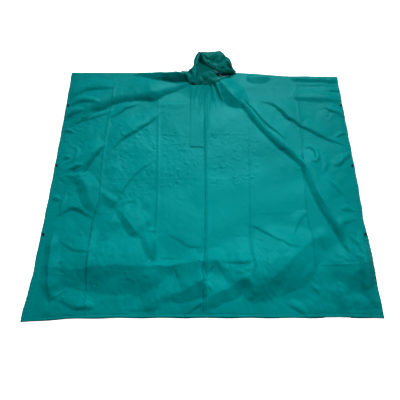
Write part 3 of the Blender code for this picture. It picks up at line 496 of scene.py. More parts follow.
# Creases left by packing: a press line is a low ridge, and the centre one is a groove.
PRESS_LINES = in_metres(
    Fold("press line 1", 26, "crease", 9, "crease", (
        (-457, 40, 1.4), (-448, 155, 2), (-461, 293, 2), (-467, 420, 2.2), (-466, 600, 2.4),
        (-461, 700, 3.4), (-476, 784, 5), (-481, 880, 4.4), (-478, 990, 5), (-476, 1083, 3.4),
        (-472, 1192, 2.2),
    )),
    Fold("press line 2", 18, "crease", 12, "crease", (
        (-226, 150, 1), (-222, 300, 1.6), (-216, 430, 1.8), (-211, 576, 1.6), (-207, 720, 2),
        (-210, 896, 2.4), (-216, 1000, 2.6),
    )),
    Fold("centre press line", 5.5, "crease", 5.5, "crease", (
        (4, 95, -1.2), (2, 250, -3.6), (1, 393, -4.6), (3, 706, -4.8), (-2, 973, -4.4), (-9, 1190, -3.4),
    )),
    Fold("centre press lip", 16, "soft", 9, "crease", (
        (15, 250, 1), (13, 393, 1.8), (15, 706, 1.8), (10, 973, 1.6), (4, 1190, 1.4),
    )),
    Fold("press line 4", 14, "crease", 10, "crease", (
        (216, 330, 1), (205, 576, 1.4), (202, 706, 1.6), (196, 835, 3), (192, 873, 3), (197, 950, 3),
        (207, 997, 3.4), (194, 1040, 1.4), (195, 1120, 1.2),
    )),
    Fold("press line 5", 16, "crease", 10, "crease", (
        (467, 40, 1.8), (459, 196, 2.2), (457, 425, 2.2), (451, 576, 2.2), (445, 700, 2.4), (447, 772, 1.8),
        (454, 896, 2.2), (452, 1005, 2),
    )),
    Fold("cross line 1", 12, "crease", 12, "crease", ((120, 170, 0.4), (200, 172, 0.6), (300, 170, 0.3))),
    Fold("cross line 2", 12, "crease", 9, "crease", ((-205, 368, 0.8), (-140, 372, 0.9), (-74, 374, 0.6))),
    Fold("cross line 3", 10, "crease", 9, "crease", ((40, 366, 0.5), (120, 367, 0.9), (212, 368, 0.6))),
    Fold("cross line 4", 10, "crease", 8, "crease", ((-176, 426, 0.6), (-120, 422, 1.2), (-70, 418, 1))),
    Fold("cross line 5", 12, "crease", 10, "crease", (
        (-200, 604, 0.4), (-60, 600, 0.5), (90, 606, 0.5), (200, 602, 0.4),
    )),
    Fold("cross line 6", 12, "crease", 10, "crease", (
        (-460, 600, 0.6), (-340, 604, 0.6), (-215, 602, 0.4),
    )),
    Fold("cross line 7", 12, "crease", 10, "crease", (
        (-640, 780, 0.4), (-460, 772, 0.6), (-330, 770, 0.4),
    )),
    Fold("cross line 8", 10, "crease", 9, "crease", ((210, 770, 0.3), (330, 768, 0.4), (440, 766, 0.6))),
    Fold("low cross line", 7, "crease", 7, "crease", (
        (-186, 972, -1.6), (-110, 977, -1.8), (-22, 981, -1.4),
    )),
    Fold("low cross line right", 10, "crease", 12, "crease", (
        (440, 998, 0.6), (553, 1002, 1.6), (664, 1000, 1.2),
    )),
)

CRUMPLES = rows_of(
    Crumple,
    ("chest", -0.200, 0.250, 0.355, 0.640, 190, 0.030, 0.0020, 0.0065),
    ("left chest", -0.450, -0.220, 0.300, 0.700, 100, 0.040, 0.0020, 0.009),
    ("left side", -0.660, -0.560, 0.290, 0.760, 60, 0.030, 0.0024, 0.008),
    ("left hem", -0.640, -0.240, 0.860, 1.180, 90, 0.040, 0.0018, 0.009),
    ("centre hem", -0.200, 0.220, 0.940, 1.185, 60, 0.034, 0.0012, 0.009),
    ("right hem", 0.230, 0.650, 0.960, 1.185, 60, 0.045, 0.0012, 0.010),
    ("right side", 0.560, 0.665, 0.080, 0.780, 60, 0.034, 0.0012, 0.009),
    ("right chest", 0.210, 0.520, 0.380, 0.560, 50, 0.034, 0.0010, 0.008),
    ("shoulders", -0.620, 0.640, 0.050, 0.340, 80, 0.050, 0.0010, 0.010),
    ("star low left", -0.250, -0.180, 0.965, 1.045, 22, 0.034, 0.0018, 0.006),
    ("star knee left", -0.500, -0.430, 0.880, 1.045, 26, 0.030, 0.0018, 0.007),
    ("star low right", 0.160, 0.235, 0.945, 1.020, 16, 0.032, 0.0018, 0.006),
    ("star chest right", 0.425, 0.500, 0.285, 0.350, 14, 0.030, 0.0016, 0.006),
    ("flap foot", -0.080, 0.010, 0.400, 0.470, 14, 0.026, 0.0012, 0.006),
)
CRUMPLE_SEED = 41
CRUMPLE_LENGTHS = (0.35, 1.0)
CRUMPLE_HEIGHTS = (0.4, 1.0)
CRUMPLE_REACHES = (0.6, 1.4)
CRUMPLE_BEND = 0.4
CRUMPLE_RISE = (0.15, 1.0, 0.15)

# Facets over the whole front: (height, size, seed, turn, stretch).  They bend, and thin out in patches.
BROAD_FACETS = (0.0030, 0.082, 31, 0.5, 1.3)
FINE_FACETS = ((0.0024, 0.036, 37, 1.9, 1.6), (0.0011, 0.0165, 41, 1.1, 1.4))
FACET_BEND = 0.010
FACET_BEND_SIZE = 0.060
FACET_BEND_SEEDS = (3, 4)
PATCH_MIDDLE = 0.75
PATCH_SPAN = 0.5
PATCH_FACETS = (0.11, 9)
RELIEF_AT_EDGE = 0.25
# The calm middle of the right half, and where the cloth is more crumpled: (starts at, full after).
LEAST_CRUMPLED = 0.45
CALM_SHARE = 0.25
CALM_PLACE = (0.20, 0.66)
CALM_REACH = (0.30, 0.34)
CRUMPLED_SIDE = (0.50, 0.15)
CRUMPLED_HEM = (0.86, 0.14)
CRUMPLED_LEFT = (0.20, 0.15)
CRUMPLED_BELOW = (0.30, 0.2)
CRUMPLED_LEFT_SHARE = 0.8
# How far creases stray: (distance, size of the facets) and a seed for each direction.
STRAY_WIDE = (0.0028, 0.048)
STRAY_FINE = (0.0012, 0.017)
STRAY_SEEDS = (11, 23)
STRAY_FINE_SEED = 5
STRAY_TURN = 0.4
# The slow rise and fall of the whole front: (share, waves across, waves down, start).
SWELL_HEIGHT = 0.0011
SWELLS = ((1.0, 17.0, 5.0, 0.6), (1.0, -9.0, 21.0, 2.0), (0.6, 31.0, -14.0, 4.1), (0.5, 13.0, 38.0, 1.3))
LATTICE_PRIMES = (73856093, 19349663, 83492791)
LATTICE_MIX = 1274126177

# The strand that both halves of the hood share, in millimetres as in their tables.
CENTRE_SEAM = HoodRow(
    "centre seam", (-17.5, 50, 72.5), (-17.5, 59, 75.5), (-17.5, 70, 75.5),
    (-17.5, 94, 48), (-17.5, 104, 6), (-17.5, 60, 0), -17.5,
)
HOOD_RIGHT = in_metres(
    CENTRE_SEAM,
    HoodRow("by the seam", (-13, 50, 72.5), (-12, 59, 75.5), (-11, 70, 75.5), (-11, 94, 48), (-11, 104, 6),
            (-11, 60, 0), -11),
    HoodRow("crown", (-3, 20, 68), (3, 38, 72), (6, 66, 75.5), (8, 95, 45), (8, 110, 6),
            (7, 60, 0), 6),
    HoodRow("upper", (18, -4, 62), (28, 22, 68), (37, 67, 75.5), (40, 99, 43), (40, 118, 6),
            (36, 62, 0), 32),
    HoodRow("middle", (48, -18, 52), (59, 13, 62), (68, 70, 75), (72, 102, 42), (73, 122, 6),
            (67, 64, 0), 62),
    HoodRow("outer", (82, -30, 42), (91, 1, 52), (99, 61, 67), (102, 93, 37), (105, 113, 5),
            (100, 58, 0), 95),
    HoodRow("fall", (110, -26, 32), (118, 0, 41), (125, 41, 52), (128, 66, 29), (130, 86, 4),
            (127, 45, 0), 123),
    HoodRow("corner", (137, -17, 21.5), (141, -3, 27.5), (143, 13, 29.5), (144, 31, 17), (144, 42, 3),
            (143, 21, 0), 141),
    HoodRow("tip", (160, -11, 12), (162, -5, 13.5), (163, 1, 13), (164, 9, 8), (164, 14, 2),
            (163, 3, 0), 162),
)
HOOD_LEFT = in_metres(
    CENTRE_SEAM,
    HoodRow("by the seam", (-21, 50, 72.5), (-24, 58, 75), (-27, 69, 74.5), (-28, 92, 47), (-28, 102, 6),
            (-26, 60, 0), -25),
    HoodRow("upper", (-31, 12, 59), (-38, 19, 63), (-43, 38, 59), (-45, 66, 34), (-45, 79, 5),
            (-40, 45, 0), -37),
    HoodRow("middle", (-36, -18, 50), (-45, -12, 51), (-52, -2, 47), (-55, 22, 32), (-56, 42, 4),
            (-53, 26, 0), -50),
    HoodRow("lower", (-40, -50, 40), (-50, -46, 40.5), (-62, -38, 37.5), (-74, -15, 31), (-80, 13, 4),
            (-74, 5, 0), -71),
    HoodRow("neck seam", (-44, -86, 20.5), (-55, -85, 20.5), (-66, -81, 19), (-95, -47, 20), (-117, 11, 10),
            (-112, 4, 0), -108),
)
HOOD_UNDER_Z = 0.0003
HOOD_STEP = 0.0030
HOOD_ROUND_SAMPLES = 72
HOOD_CRUMPLE = 0.0062
HOOD_CRUMPLE_SIZE = 0.021
HOOD_FINE = (0.4, 0.45)  # shares of that height and size
HOOD_FACETS = (7, 0.7, 1.5)
HOOD_FINE_FACETS = (8, 2.0, 1.4)
HOOD_CALM_RIM = 0.10
HOOD_CALM_FOOT = (0.72, 0.15)
HOOD_CALM_SEAM = 0.12
HOOD_ROUND = 0.26
NORMAL_STEP = 0.004
# Where the lining's painted glow is full and where it has dimmed to painted shade, along a line that leans
# across the hood.
LINING_DARK_FROM = 0.0755
LINING_LIT_TO = 0.060
LINING_LEAN = 0.55
LINING_LEAN_FROM = -0.018
LINING_DARK = 0.12

CASING_WIDTH = 0.021
CASING_FROM_RIM = 0.0015
CASING_REACH = 0.4
CASING_TRIALS = 61
CASING_CLEAR = 0.0012
CASING_BULGE = 0.0016
CASING_PUCKER = 0.0007
CASING_PUCKER_PITCH = 0.011
CASING_PUCKER_SLANT = 3
CASING_TURN = 0.12
CASING_TUCK = 0.0022
CASING_PLUMP_TO = 0.86
CASING_PLUMP_ROUND = 0.7
CASING_STEP = 0.0028
CASING_ROWS = 18
CASING_SEAM = 0.93
CASING_SEAM_LIFT = 0.0002
CASING_ENDS_RIGHT = (0.04, 0.93)
CASING_ENDS_LEFT = (0.06, 0.97)

COLLAR = in_metres(*rows_of(
    CollarRow,
    (-51, 85.5, 62, 27, 0), (-40.5, 86.8, 48, 33, 0), (-25, 87.5, 37, 41.5, 2), (0, 88, 34.5, 47, 4),
    (30, 88.5, 26.5, 50, 5), (52, 87.5, 35, 44, 4), (72, 75, 47.5, 35, 3), (98, 57.5, 43, 30, 1),
    (125, 39.5, 31, 21.5, 0), (140, 30, 21, 14.5, 0), (156, 19, 13.5, 10.5, 0),
))

CHIN_CRUMPLE = 0.0034
CHIN_FACETS = (0.017, 71, 1.2, 1.6)
CHIN_CALM = 0.25
CHIN_GATHER = 0.0011
CHIN_GATHER_PITCH = 0.0135
CHIN_GATHER_STRAY = (1.7, 90)
CHIN_GRID = (110, 30)
CHIN_SEAM_ENDS = (0.03, 0.72)
CHIN_SEAMS = (0.05, 0.17)
CHIN_SEAM_LIFT = (0, -0.0004, 0.0009)

CORD_RADIUS = 0.0016
CORD_ROUTE = in_metres(*rows_of(
    CordPlace,
    (49.3, 17, 52.4), (52.2, 20.7, 50.8), (54.8, 24, 49.9), (57.3, 26.8, 49), (60, 28.7, 48.6),
    (63, 30.4, 48), (65.8, 32.1, 46.9), (68.6, 33.9, 45.6), (71.4, 35.7, 44.3), (74.2, 37.5, 43),
    (77, 39.3, 41.4), (79.7, 41.3, 39.4), (82.5, 43.4, 37.5), (85.4, 45.3, 35.7), (88.6, 46.4, 34.1),
    (92, 46.4, 32.7), (95.7, 45.5, 31.4), (99.5, 44, 30.1), (103.4, 42.3, 28.7), (107.3, 40.5, 27.6),
    (111.2, 38.6, 26.8), (115, 36.8, 26.2),
))
LOCK_AT = 8
LOCK_RADIUS = 0.0046
LOCK_LENGTH = 0.010
LOCK_BORE_RADIUS = 0.0024
LOCK_BEVEL = 0.0004
LOCK_ROUND = 0.0010
LOCK_RIB = 0.00022
LOCK_RIB_PITCH = 0.0016
LOCK_RIB_SAMPLES = 33
LOCK_SIDES = 32
BRAID_LAY = 0.0042
BRAID_DEPTH = 0.05
BRAID_SUNK = 0.04
BRAID_STRANDS = 4
CORD_SAMPLES = 260
CORD_SIDES = 16
TUBE_END = 0.02
KNOT_RADIUS = 0.0034
KNOT_LOOP = 0.30
KNOT_CROSSING = 1.55
KNOT_DEPTH = 0.85
KNOT_TIGHT = 0.80
KNOT_SIDES = 14

# The view: over the hem, looking down on the garment.
CAMERA_PLACE = (-0.0105, -0.8567, 1.6205)
CAMERA_AIM = (-0.0105, -0.1521, 0.0)
CAMERA_LENS = 36.0
CAMERA_SENSOR = 36.0

# The stage.  Each light has a place and what it is aimed at.
FLOOR_SIZE = 16
FLOOR_DROP = 0.0002
FLOOR_PAPER = 0.9
FLOOR_IN_REFLECTIONS = 0.3
KEY_PLACE = (0.80, 4.90)
KEY_AIM = (0.06, -0.06, 0.0)
KEY_RADIUS = 1.3
KEY_CONE = math.radians(21.0)
OVERHEAD_PLACE = (0.2, 0.3, 3.2)
OVERHEAD_SIZE = 3.0
ORIGIN = (0.0, 0.0, 0.0)
BLACK = (0.0, 0.0, 0.0)
WHITE = (1.0, 1.0, 1.0)


# ---------------- places and heights


def between(before, start, end, after, u):
    """The smooth curve through four stations, at a share u from the second to the third."""
    return 0.5 * (
        2 * start
        + (end - before) * u
        + (2 * before - 5 * start + 4 * end - after) * u**2
        + (3 * start - before - 3 * end + after) * u**3
    )


def spline(stations, places):
    """Points of a smooth curve through the stations; places run from 0 at the first to 1 at the last."""
    stations = np.asarray(stations, float)
    last = len(stations) - 1
    padded = np.vstack([2 * stations[0] - stations[1], stations, 2 * stations[-1] - stations[-2]])
    along = np.clip(np.asarray(places, float), 0, 1) * last
    span = np.minimum(along.astype(int), last - 1)
    u = (along - span)[..., None]
    return between(*(padded[span + i] for i in range(4)), u)


def spline_each(stations, places):
    """One point on each of many curves: stations are (station, curve, axis), places one for each curve."""
    last = len(stations) - 1
    before, after = 2 * stations[:1] - stations[1:2], 2 * stations[-1:] - stations[-2:-1]
    padded = np.concatenate([before, stations, after])
    along = np.clip(np.asarray(places, float), 0, 1) * last
    span = np.minimum(along.astype(int), last - 1)
    u = (along - span)[:, None]
    curve = np.arange(len(span))
    return between(*(padded[span + i, curve] for i in range(4)), u)


def frame_shift():
    """What is added to (across, -down) so that the bounding box is centred on the origin."""
    left = min(p.across for p in LEFT_EDGE) - BACK_SHOWS
    right = max(p.across for p in RIGHT_EDGE) + BACK_SHOWS
    low = -max(p.down for p in HEM_LINE) - BACK_SHOWS
    high = max(row.foot[1] for row in HOOD_RIGHT) + CLOTH
    return -(left + right) / 2, -(low + high) / 2


SHIFT_X, SHIFT_Y = frame_shift()


def to_x(across):
    return across + SHIFT_X


def to_y(down):
    return SHIFT_Y - down


def placed(across, down, z):
    """Points in the row frame."""
    return np.column_stack([to_x(across), to_y(down), z])


def edge(table, places):
    """A table's second column where its first column has the value `places`."""
    table = np.array(table, float)
    return np.interp(places, table[:, 0], table[:, 1])


def ramp(distance, length):
    """From 0 to 1 over a length."""
    return np.clip(distance / length, 0, 1)


def body_points(s, t):
    """(across, down) for shares s across the body and t down it."""
    rough_across = SHOULDER_HALF_WIDTH * (2 * s - 1)
    down = edge(SHOULDER_LINE, rough_across) * (1 - t) + edge(HEM_LINE, rough_across) * t
    left, right = edge(LEFT_EDGE, down), edge(RIGHT_EDGE, down)
    return left + (right - left) * s, down


def fold_height(fold, across, down):
    """How far a fold lifts each place."""
    crest = spline(fold.crest, np.linspace(0, 1, CREST_SAMPLES * len(fold.crest)))
    reach = max(fold.left, fold.right)
    near = np.flatnonzero(
        (across > crest[:, 0].min() - reach)
        & (across < crest[:, 0].max() + reach)
        & (down > crest[:, 1].min() - reach)
        & (down < crest[:, 1].max() + reach)
    )
    a, d = across[near], down[near]
    best = np.full(a.shape, np.inf)
    height = np.zeros(a.shape)
    on_left = np.zeros(a.shape, bool)
    for start, end in zip(crest[:-1], crest[1:]):
        run_x, run_y = end[0] - start[0], start[1] - end[1]
        off_x, off_y = a - start[0], start[1] - d
        share = np.clip((off_x * run_x + off_y * run_y) / (run_x**2 + run_y**2), 0, 1)
        distance = np.hypot(off_x - share * run_x, off_y - share * run_y)
        closer = distance < best
        best = np.where(closer, distance, best)
        height = np.where(closer, start[2] + share * (end[2] - start[2]), height)
        on_left = np.where(closer, run_x * off_y - run_y * off_x > 0, on_left)
    spread = np.sqrt(np.clip(height / max(crest[:, 2], key=abs), NARROWEST, 1))
    sides = []
    for width, shape in ((fold.left, fold.left_shape), (fold.right, fold.right_shape)):
        roundness, softness = SHAPES[shape]
        sides.append((1 - ramp(best, width * spread) ** roundness) ** softness)
    lifted = np.zeros(across.shape)
    lifted[near] = height * np.where(on_left, sides[0], sides[1])
    return lifted


def crumple_folds():
    """The small creases of every crumpled area."""
    draw = np.random.default_rng(CRUMPLE_SEED)
    made = []
    for area in CRUMPLES:
        for number in range(area.count):
            across = draw.uniform(area.left, area.right)
            down = draw.uniform(area.top, area.bottom)
            turn = draw.uniform(0, 2 * np.pi)
            half = area.length * draw.uniform(*CRUMPLE_LENGTHS) / 2
            bend = half * draw.uniform(-CRUMPLE_BEND, CRUMPLE_BEND)
            height = area.height * draw.uniform(*CRUMPLE_HEIGHTS) * draw.choice((-1, 1, 1))
            step = np.array([np.cos(turn), np.sin(turn)])
            side = np.array([-step[1], step[0]])
            middle = np.array([across, down])
            ends = [middle + step * half * k + side * bend * (k == 0) for k in (-1, 0, 1)]
            crest = tuple((*place, height * k) for place, k in zip(ends, CRUMPLE_RISE))
            left, right = area.reach * draw.uniform(*CRUMPLE_REACHES, 2)
            made.append(Fold(f"{area.name} {number}", left, "crease", right, "crease", crest))
    return made


SMALL_CREASES = crumple_folds()
ALL_FOLDS = [*FOLDS, *GATHERS, *PRESS_LINES, *SMALL_CREASES]
PRESSED = frozenset(PRESS_LINES + GATHERS)
PRESSED_WANDER = 0.35
# Painted shade along the packing creases: the cloth's colour is darkened in a narrow, patchy band along
# each one, to stand in for the shade that the grooves hold.
CREASE_SHADE_ATTRIBUTE = "crease_marks"
CREASE_SHADE_WIDTH = 0.0042
CREASE_SHADE_FULL = 0.0060
CREASE_SHADE_SPOTS = (0.012, 61)
CREASE_SHADE_PATCHY = 0.8
CREASE_SHADE_DARK = 0.45
CLOTH_TONES = (0.90, 1.08)
ROUGHNESS_SPREAD = 0.05
NOISE_SPAN = (0.3, 0.7)


def lattice_values(column, row, seed):
    """A steady random value from -1 to 1 for each point of a lattice."""
    first, second, third = LATTICE_PRIMES
    mixed = (column.astype(np.int64) * first) ^ (row.astype(np.int64) * second) ^ (seed * third)
    mixed = (mixed ^ (mixed >> 13)) * LATTICE_MIX
    mixed = (mixed ^ (mixed >> 16)) & 0xFFFF
    return mixed / 0x7FFF - 1.0


def facets(across, down, size, seed, turn=0.0, stretch=1.0):
    """Flat, tilted facets that meet in straight creases, from -1 to 1: a height at each lattice point."""
    u = (across * math.cos(turn) + down * math.sin(turn)) / (size * stretch)
    v = (down * math.cos(turn) - across * math.sin(turn)) / size
    skew = (u + v) * (math.sqrt(3) - 1) / 2
    column, row = np.floor(u + skew), np.floor(v + skew)
    share_u, share_v = u + skew - column, v + skew - row
    steep = share_u > share_v
    corner = lattice_values(column, row, seed)
    middle = lattice_values(column + steep, row + ~steep, seed)
    far = lattice_values(column + 1, row + 1, seed)
    more, less = np.maximum(share_u, share_v), np.minimum(share_u, share_v)
    return corner * (1 - more) + middle * (more - less) + far * less


def wander(across, down):
    """How far a fold strays sideways at a place, so that no crease runs straight for long."""
    (wide, wide_size), (fine, fine_size) = STRAY_WIDE, STRAY_FINE
    moved = []
    for seed in STRAY_SEEDS:
        far = wide * facets(across, down, wide_size, seed, STRAY_TURN + seed)
        moved.append(far + fine * facets(across, down, fine_size, seed + STRAY_FINE_SEED))
    return moved


def crumpled_share(across, down):
    """How crumpled the cloth is: least in the middle of the right half, most at the hem and the sides."""
    off_across = (across - CALM_PLACE[0]) / CALM_REACH[0]
    off_down = (down - CALM_PLACE[1]) / CALM_REACH[1]
    calm = np.exp(-(off_across**2) - off_down**2)
    side, to_side = CRUMPLED_SIDE
    hem, to_hem = CRUMPLED_HEM
    left, to_left = CRUMPLED_LEFT
    below, to_below = CRUMPLED_BELOW
    at_left = ramp(-left - across, to_left) * ramp(down - below, to_below)
    most = np.maximum(ramp(np.abs(across) - side, to_side), ramp(down - hem, to_hem))
    most = np.maximum(most, CRUMPLED_LEFT_SHARE * at_left)
    return LEAST_CRUMPLED + (1 - LEAST_CRUMPLED) * most - CALM_SHARE * calm


def crumple_relief(across, down):
    """Facets of three sizes over the whole front."""
    bend_a, bend_d = (facets(across, down, FACET_BEND_SIZE, seed) for seed in FACET_BEND_SEEDS)
    bent_a, bent_d = across + FACET_BEND * bend_a, down + FACET_BEND * bend_d
    patch = PATCH_MIDDLE + PATCH_SPAN * facets(across, down, *PATCH_FACETS)
    height, *form = BROAD_FACETS
    relief = height * facets(bent_a, bent_d, *form)
    for height, *form in FINE_FACETS:
        relief += height * patch * facets(bent_a, bent_d, *form)
    return relief * crumpled_share(across, down)


def edge_distances(across, down):
    """How far each place is from the side edges, the hem and the shoulder line."""
    side = np.minimum(across - edge(LEFT_EDGE, down), edge(RIGHT_EDGE, down) - across)
    return side, edge(HEM_LINE, across) - down, down - edge(SHOULDER_LINE, across)


def hem_relief(across, down):
    """The turned hems stand a little proud, with a groove along their stitching and puckers in it."""
    side, hem, _ = edge_distances(across, down)
    relief = np.zeros(np.shape(across))
    stray, stray_waves = PUCKER_STRAY
    for distance, along, (pitch, pucker) in ((side, down, SIDE_PUCKER), (hem, across, HEM_PUCKER)):
        band = np.clip(1 - distance / HEM_WIDTH, 0, 1) ** HEM_ROUND
        groove = np.exp(-(((distance - HEM_WIDTH) / HEM_GROOVE_WIDTH) ** 2))
        turn = 2 * np.pi * along / pitch + stray * np.sin(stray_waves * along) + distance * PUCKER_SLANT
        ripple = np.sin(turn)
        ripple = np.sign(ripple) * np.abs(ripple) ** PUCKER_ROUND * np.exp(-distance / PUCKER_REACH)
        relief += HEM_PROUD * band - HEM_GROOVE * groove + pucker * ripple
    return relief


def undulation(across, down):
    """The slow, uneven rise and fall of cloth that isn't quite flat."""
    waves = (share * np.sin(a * across + d * down + start) for share, a, d, start in SWELLS)
    return SWELL_HEIGHT * sum(waves)


def front_height(across, down, folds=None):
    """The underside of the front above the surface.

    The front comes down to the back at the sides and the hem, and turns over into it at the shoulder.
    """
    across, down = np.asarray(across, float), np.asarray(down, float)
    from_side = ramp(SHOULDER_HALF_WIDTH - np.abs(across), SIDE_EASE)
    from_hem = ramp(BODY_LENGTH - down, SIDE_EASE)
    from_shoulder = ramp(down - edge(SHOULDER_LINE, across), SHOULDER_ROUND)
    rest = from_side * (2 - from_side) * from_hem * (2 - from_hem)
    raised = rest * (AIR_UNDER_FRONT + undulation(across, down))
    stray_a, stray_d = wander(across, down)
    chosen = ALL_FOLDS if folds is None else folds
    free = [fold for fold in chosen if fold not in PRESSED]
    pressed = [fold for fold in chosen if fold in PRESSED]
    raised += sum(fold_height(fold, across + stray_a, down + stray_d) for fold in free)
    near_a, near_d = across + PRESSED_WANDER * stray_a, down + PRESSED_WANDER * stray_d
    raised += sum((fold_height(fold, near_a, near_d) for fold in pressed), np.zeros(across.shape))
    raised += hem_relief(across, down)
    raised += (RELIEF_AT_EDGE + (1 - RELIEF_AT_EDGE) * rest) * crumple_relief(across, down)
    rounded = raised * np.sqrt(from_shoulder * (2 - from_shoulder))
    return FRONT_REST + np.maximum(rounded, 0)


def crease_marks(across, down):
    """Painted shade along the packing creases, from 0 to 1: how far the colour is darkened there to stand
    in for the shade that the grooves hold.
    """
    stray_a, stray_d = wander(across, down)
    near_a, near_d = across + PRESSED_WANDER * stray_a, down + PRESSED_WANDER * stray_d
    marks = np.zeros(across.shape)
    for fold in (line for line in PRESS_LINES if line.left_shape == line.right_shape):
        width = min(fold.right, CREASE_SHADE_WIDTH)
        narrow = fold._replace(left=width, left_shape="crease", right=width, right_shape="crease")
        marks += np.abs(fold_height(narrow, near_a, near_d)) / CREASE_SHADE_FULL
    patchy = 1 + CREASE_SHADE_PATCHY * facets(across, down, *CREASE_SHADE_SPOTS)
    return np.clip(marks * patchy, 0, 1)


def front_top(across, down):
    return front_height(across, down) + CLOTH


# ---------------- cloth made of triangles


def resampled(line, step):
    """Places along a polyline, at about the given step."""
    line = np.asarray(line, float)
    run = np.concatenate([[0], np.cumsum(np.hypot(*np.diff(line, axis=0).T))])
    marks = np.linspace(0, run[-1], max(2, round(run[-1] / step) + 1))
    return np.column_stack([np.interp(marks, run, line[:, i]) for i in range(line.shape[1])])


def body_outline(step, neck=()):
    """(across, down) round the body, clockwise from the top left corner, with the neck cut in."""
    share = np.linspace(0, 1, EDGE_SAMPLES)
    top = np.column_stack(body_points(share, 0 * share))
    if neck:
        before = top[top[:, 0] < neck[0].across - NECK_MARGIN]
        after = top[top[:, 0] > neck[-1].across + NECK_MARGIN]
        top = np.vstack([before, np.array(neck, float), after])
    sides = (
        top,
        np.column_stack(body_points(0 * share + 1, share)),
        np.column_stack(body_points(1 - share, 0 * share + 1)),
        np.column_stack(body_points(0 * share, 1 - share)),
    )
    return np.vstack([resampled(side, step)[:-1] for side in sides])


def inside(outline, places):
    """True for the places within a closed outline."""
    x, y = places[:, 0], places[:, 1]
    crossings = np.zeros(len(places), int)
    for (x0, y0), (x1, y1) in zip(outline, np.roll(outline, -1, axis=0)):
        if y0 != y1:
            crossings += ((y0 > y) != (y1 > y)) & (x < x0 + (y - y0) * (x1 - x0) / (y1 - y0))
    return crossings % 2 == 1


def directions(line):
    """Unit vectors along a line."""
    run = np.gradient(line, axis=0)
    return run / np.linalg.norm(run, axis=1)[:, None]


def even_turns(count):
    """Angles round a circle, in even steps."""
    return np.linspace(0, 2 * np.pi, count, endpoint=False)


def fold_line(fold, flank):
    """A line along the fold: its crest at flank 0, the foot of its left side at 1, of its right at -1."""
    crest = resampled(spline(fold.crest, np.linspace(0, 1, CREST_SAMPLES * len(fold.crest))), FOLD_STEP)
    height = crest[:, 2]
    crest = crest[:, :2]
    spread = np.sqrt(np.clip(height / max(height, key=abs), NARROWEST, 1))[:, None]
    run = directions(crest)
    to_left = np.column_stack([run[:, 1], -run[:, 0]])
    line = crest + to_left * spread * (fold.left if flank > 0 else fold.right) * flank
    share = PRESSED_WANDER if fold in PRESSED else 1.0
    return line - share * np.column_stack(wander(*line.T))


class Cutting:
    """Points for a cloth, no two nearer than `closest`, and the lines that its faces must follow."""

    def __init__(self, outline, closest):
        self.outline = outline
        self.closest = closest
        self.points = []
        self.cells = {}
        for place in outline:
            self.take(place)
        self.edges = [(i, (i + 1) % len(outline)) for i in range(len(outline))]

    def cell(self, place):
        return int(place[0] // self.closest), int(place[1] // self.closest)

    def take(self, place):
        self.cells.setdefault(self.cell(place), []).append((place[0], place[1]))
        self.points.append((place[0], place[1]))
        return len(self.points) - 1

    def is_free(self, place):
        column, row = self.cell(place)
        for i in (column - 1, column, column + 1):
            for j in (row - 1, row, row + 1):
                for a, d in self.cells.get((i, j), ()):
                    if (a - place[0]) ** 2 + (d - place[1]) ** 2 < self.closest**2:
                        return False
        return True

    def add_lines(self, lines):
        lengths = [len(line) for line in lines]
        within = np.split(inside(self.outline, np.vstack(lines)), np.cumsum(lengths)[:-1])
        for line, shown in zip(lines, within):
            before = None
            for place, is_inside in zip(line, shown):
                if is_inside and self.is_free(place):
                    now = self.take(place)
                    if before is not None:
                        self.edges.append((before, now))
                    before = now
                else:
                    before = None

    def add_grid(self, step):
        low, high = self.outline.min(0), self.outline.max(0)
        columns, rows = np.arange(low[0], high[0], step), np.arange(low[1], high[1], step)
        grid = np.array([(a + step / 2 * (j % 2), d) for j, d in enumerate(rows) for a in columns])
        for place in grid[inside(self.outline, grid)]:
            if self.is_free(place):
                self.take(place)

    def triangles(self):
        """(places, faces, where each outline point is) once the cloth is cut into triangles."""
        flat = [Vector((a, -d)) for a, d in self.points]
        places, _, faces, origins, *_ = delaunay_2d_cdt(flat, self.edges, [], 1, SAME_PLACE)
        rim = [0] * len(self.outline)
        for index, sources in enumerate(origins):
            for source in sources:
                if source < len(rim):
                    rim[source] = index
        return np.array([(p.x, -p.y) for p in places]), faces, rim


def mesh_of(name, spots, faces, weld=None):
    """A mesh; where a distance to weld is given, its faces are also turned outwards."""
    mesh = bpy.data.meshes.new(name)
    mesh.from_pydata(spots, [], faces)
    if weld is not None:
        bm = bmesh.new()
        bm.from_mesh(mesh)
        if weld:
            bmesh.ops.remove_doubles(bm, verts=bm.verts, dist=weld)
        bmesh.ops.recalc_face_normals(bm, faces=bm.faces)
        bm.to_mesh(mesh)
        bm.free()
    return mesh


def closed_cloth(name, top, top_z, under, under_z):
    """A cloth of two faces, an upper and an under one, joined round the rim."""
    top_places, top_faces, top_rim = top
    under_places, under_faces, under_rim = under
    count = len(top_places)
    spots = np.vstack([placed(*top_places.T, top_z), placed(*under_places.T, under_z)])
    faces = [tuple(face) for face in top_faces]
    faces += [tuple(index + count for index in reversed(face)) for face in under_faces]
    for i in range(len(top_rim)):
        j = (i + 1) % len(top_rim)
        faces.append((top_rim[i], top_rim[j], under_rim[j] + count, under_rim[i] + count))
    mesh = mesh_of(name, spots.tolist(), faces)
    mesh.validate()
    return mesh


def grid_mesh(name, columns, rows, place):
    """A grid whose points go where `place` sends their shares across and down it."""
    bm = bmesh.new()
    bmesh.ops.create_grid(bm, x_segments=columns, y_segments=rows, size=0.5)
    verts = list(bm.verts)
    s = np.array([v.co.x + 0.5 for v in verts])
    t = np.array([0.5 - v.co.y for v in verts])
    for vert, point in zip(verts, place(s, t)):
        vert.co = point
    mesh = bpy.data.meshes.new(name)
    bm.to_mesh(mesh)
    bm.free()
    return mesh


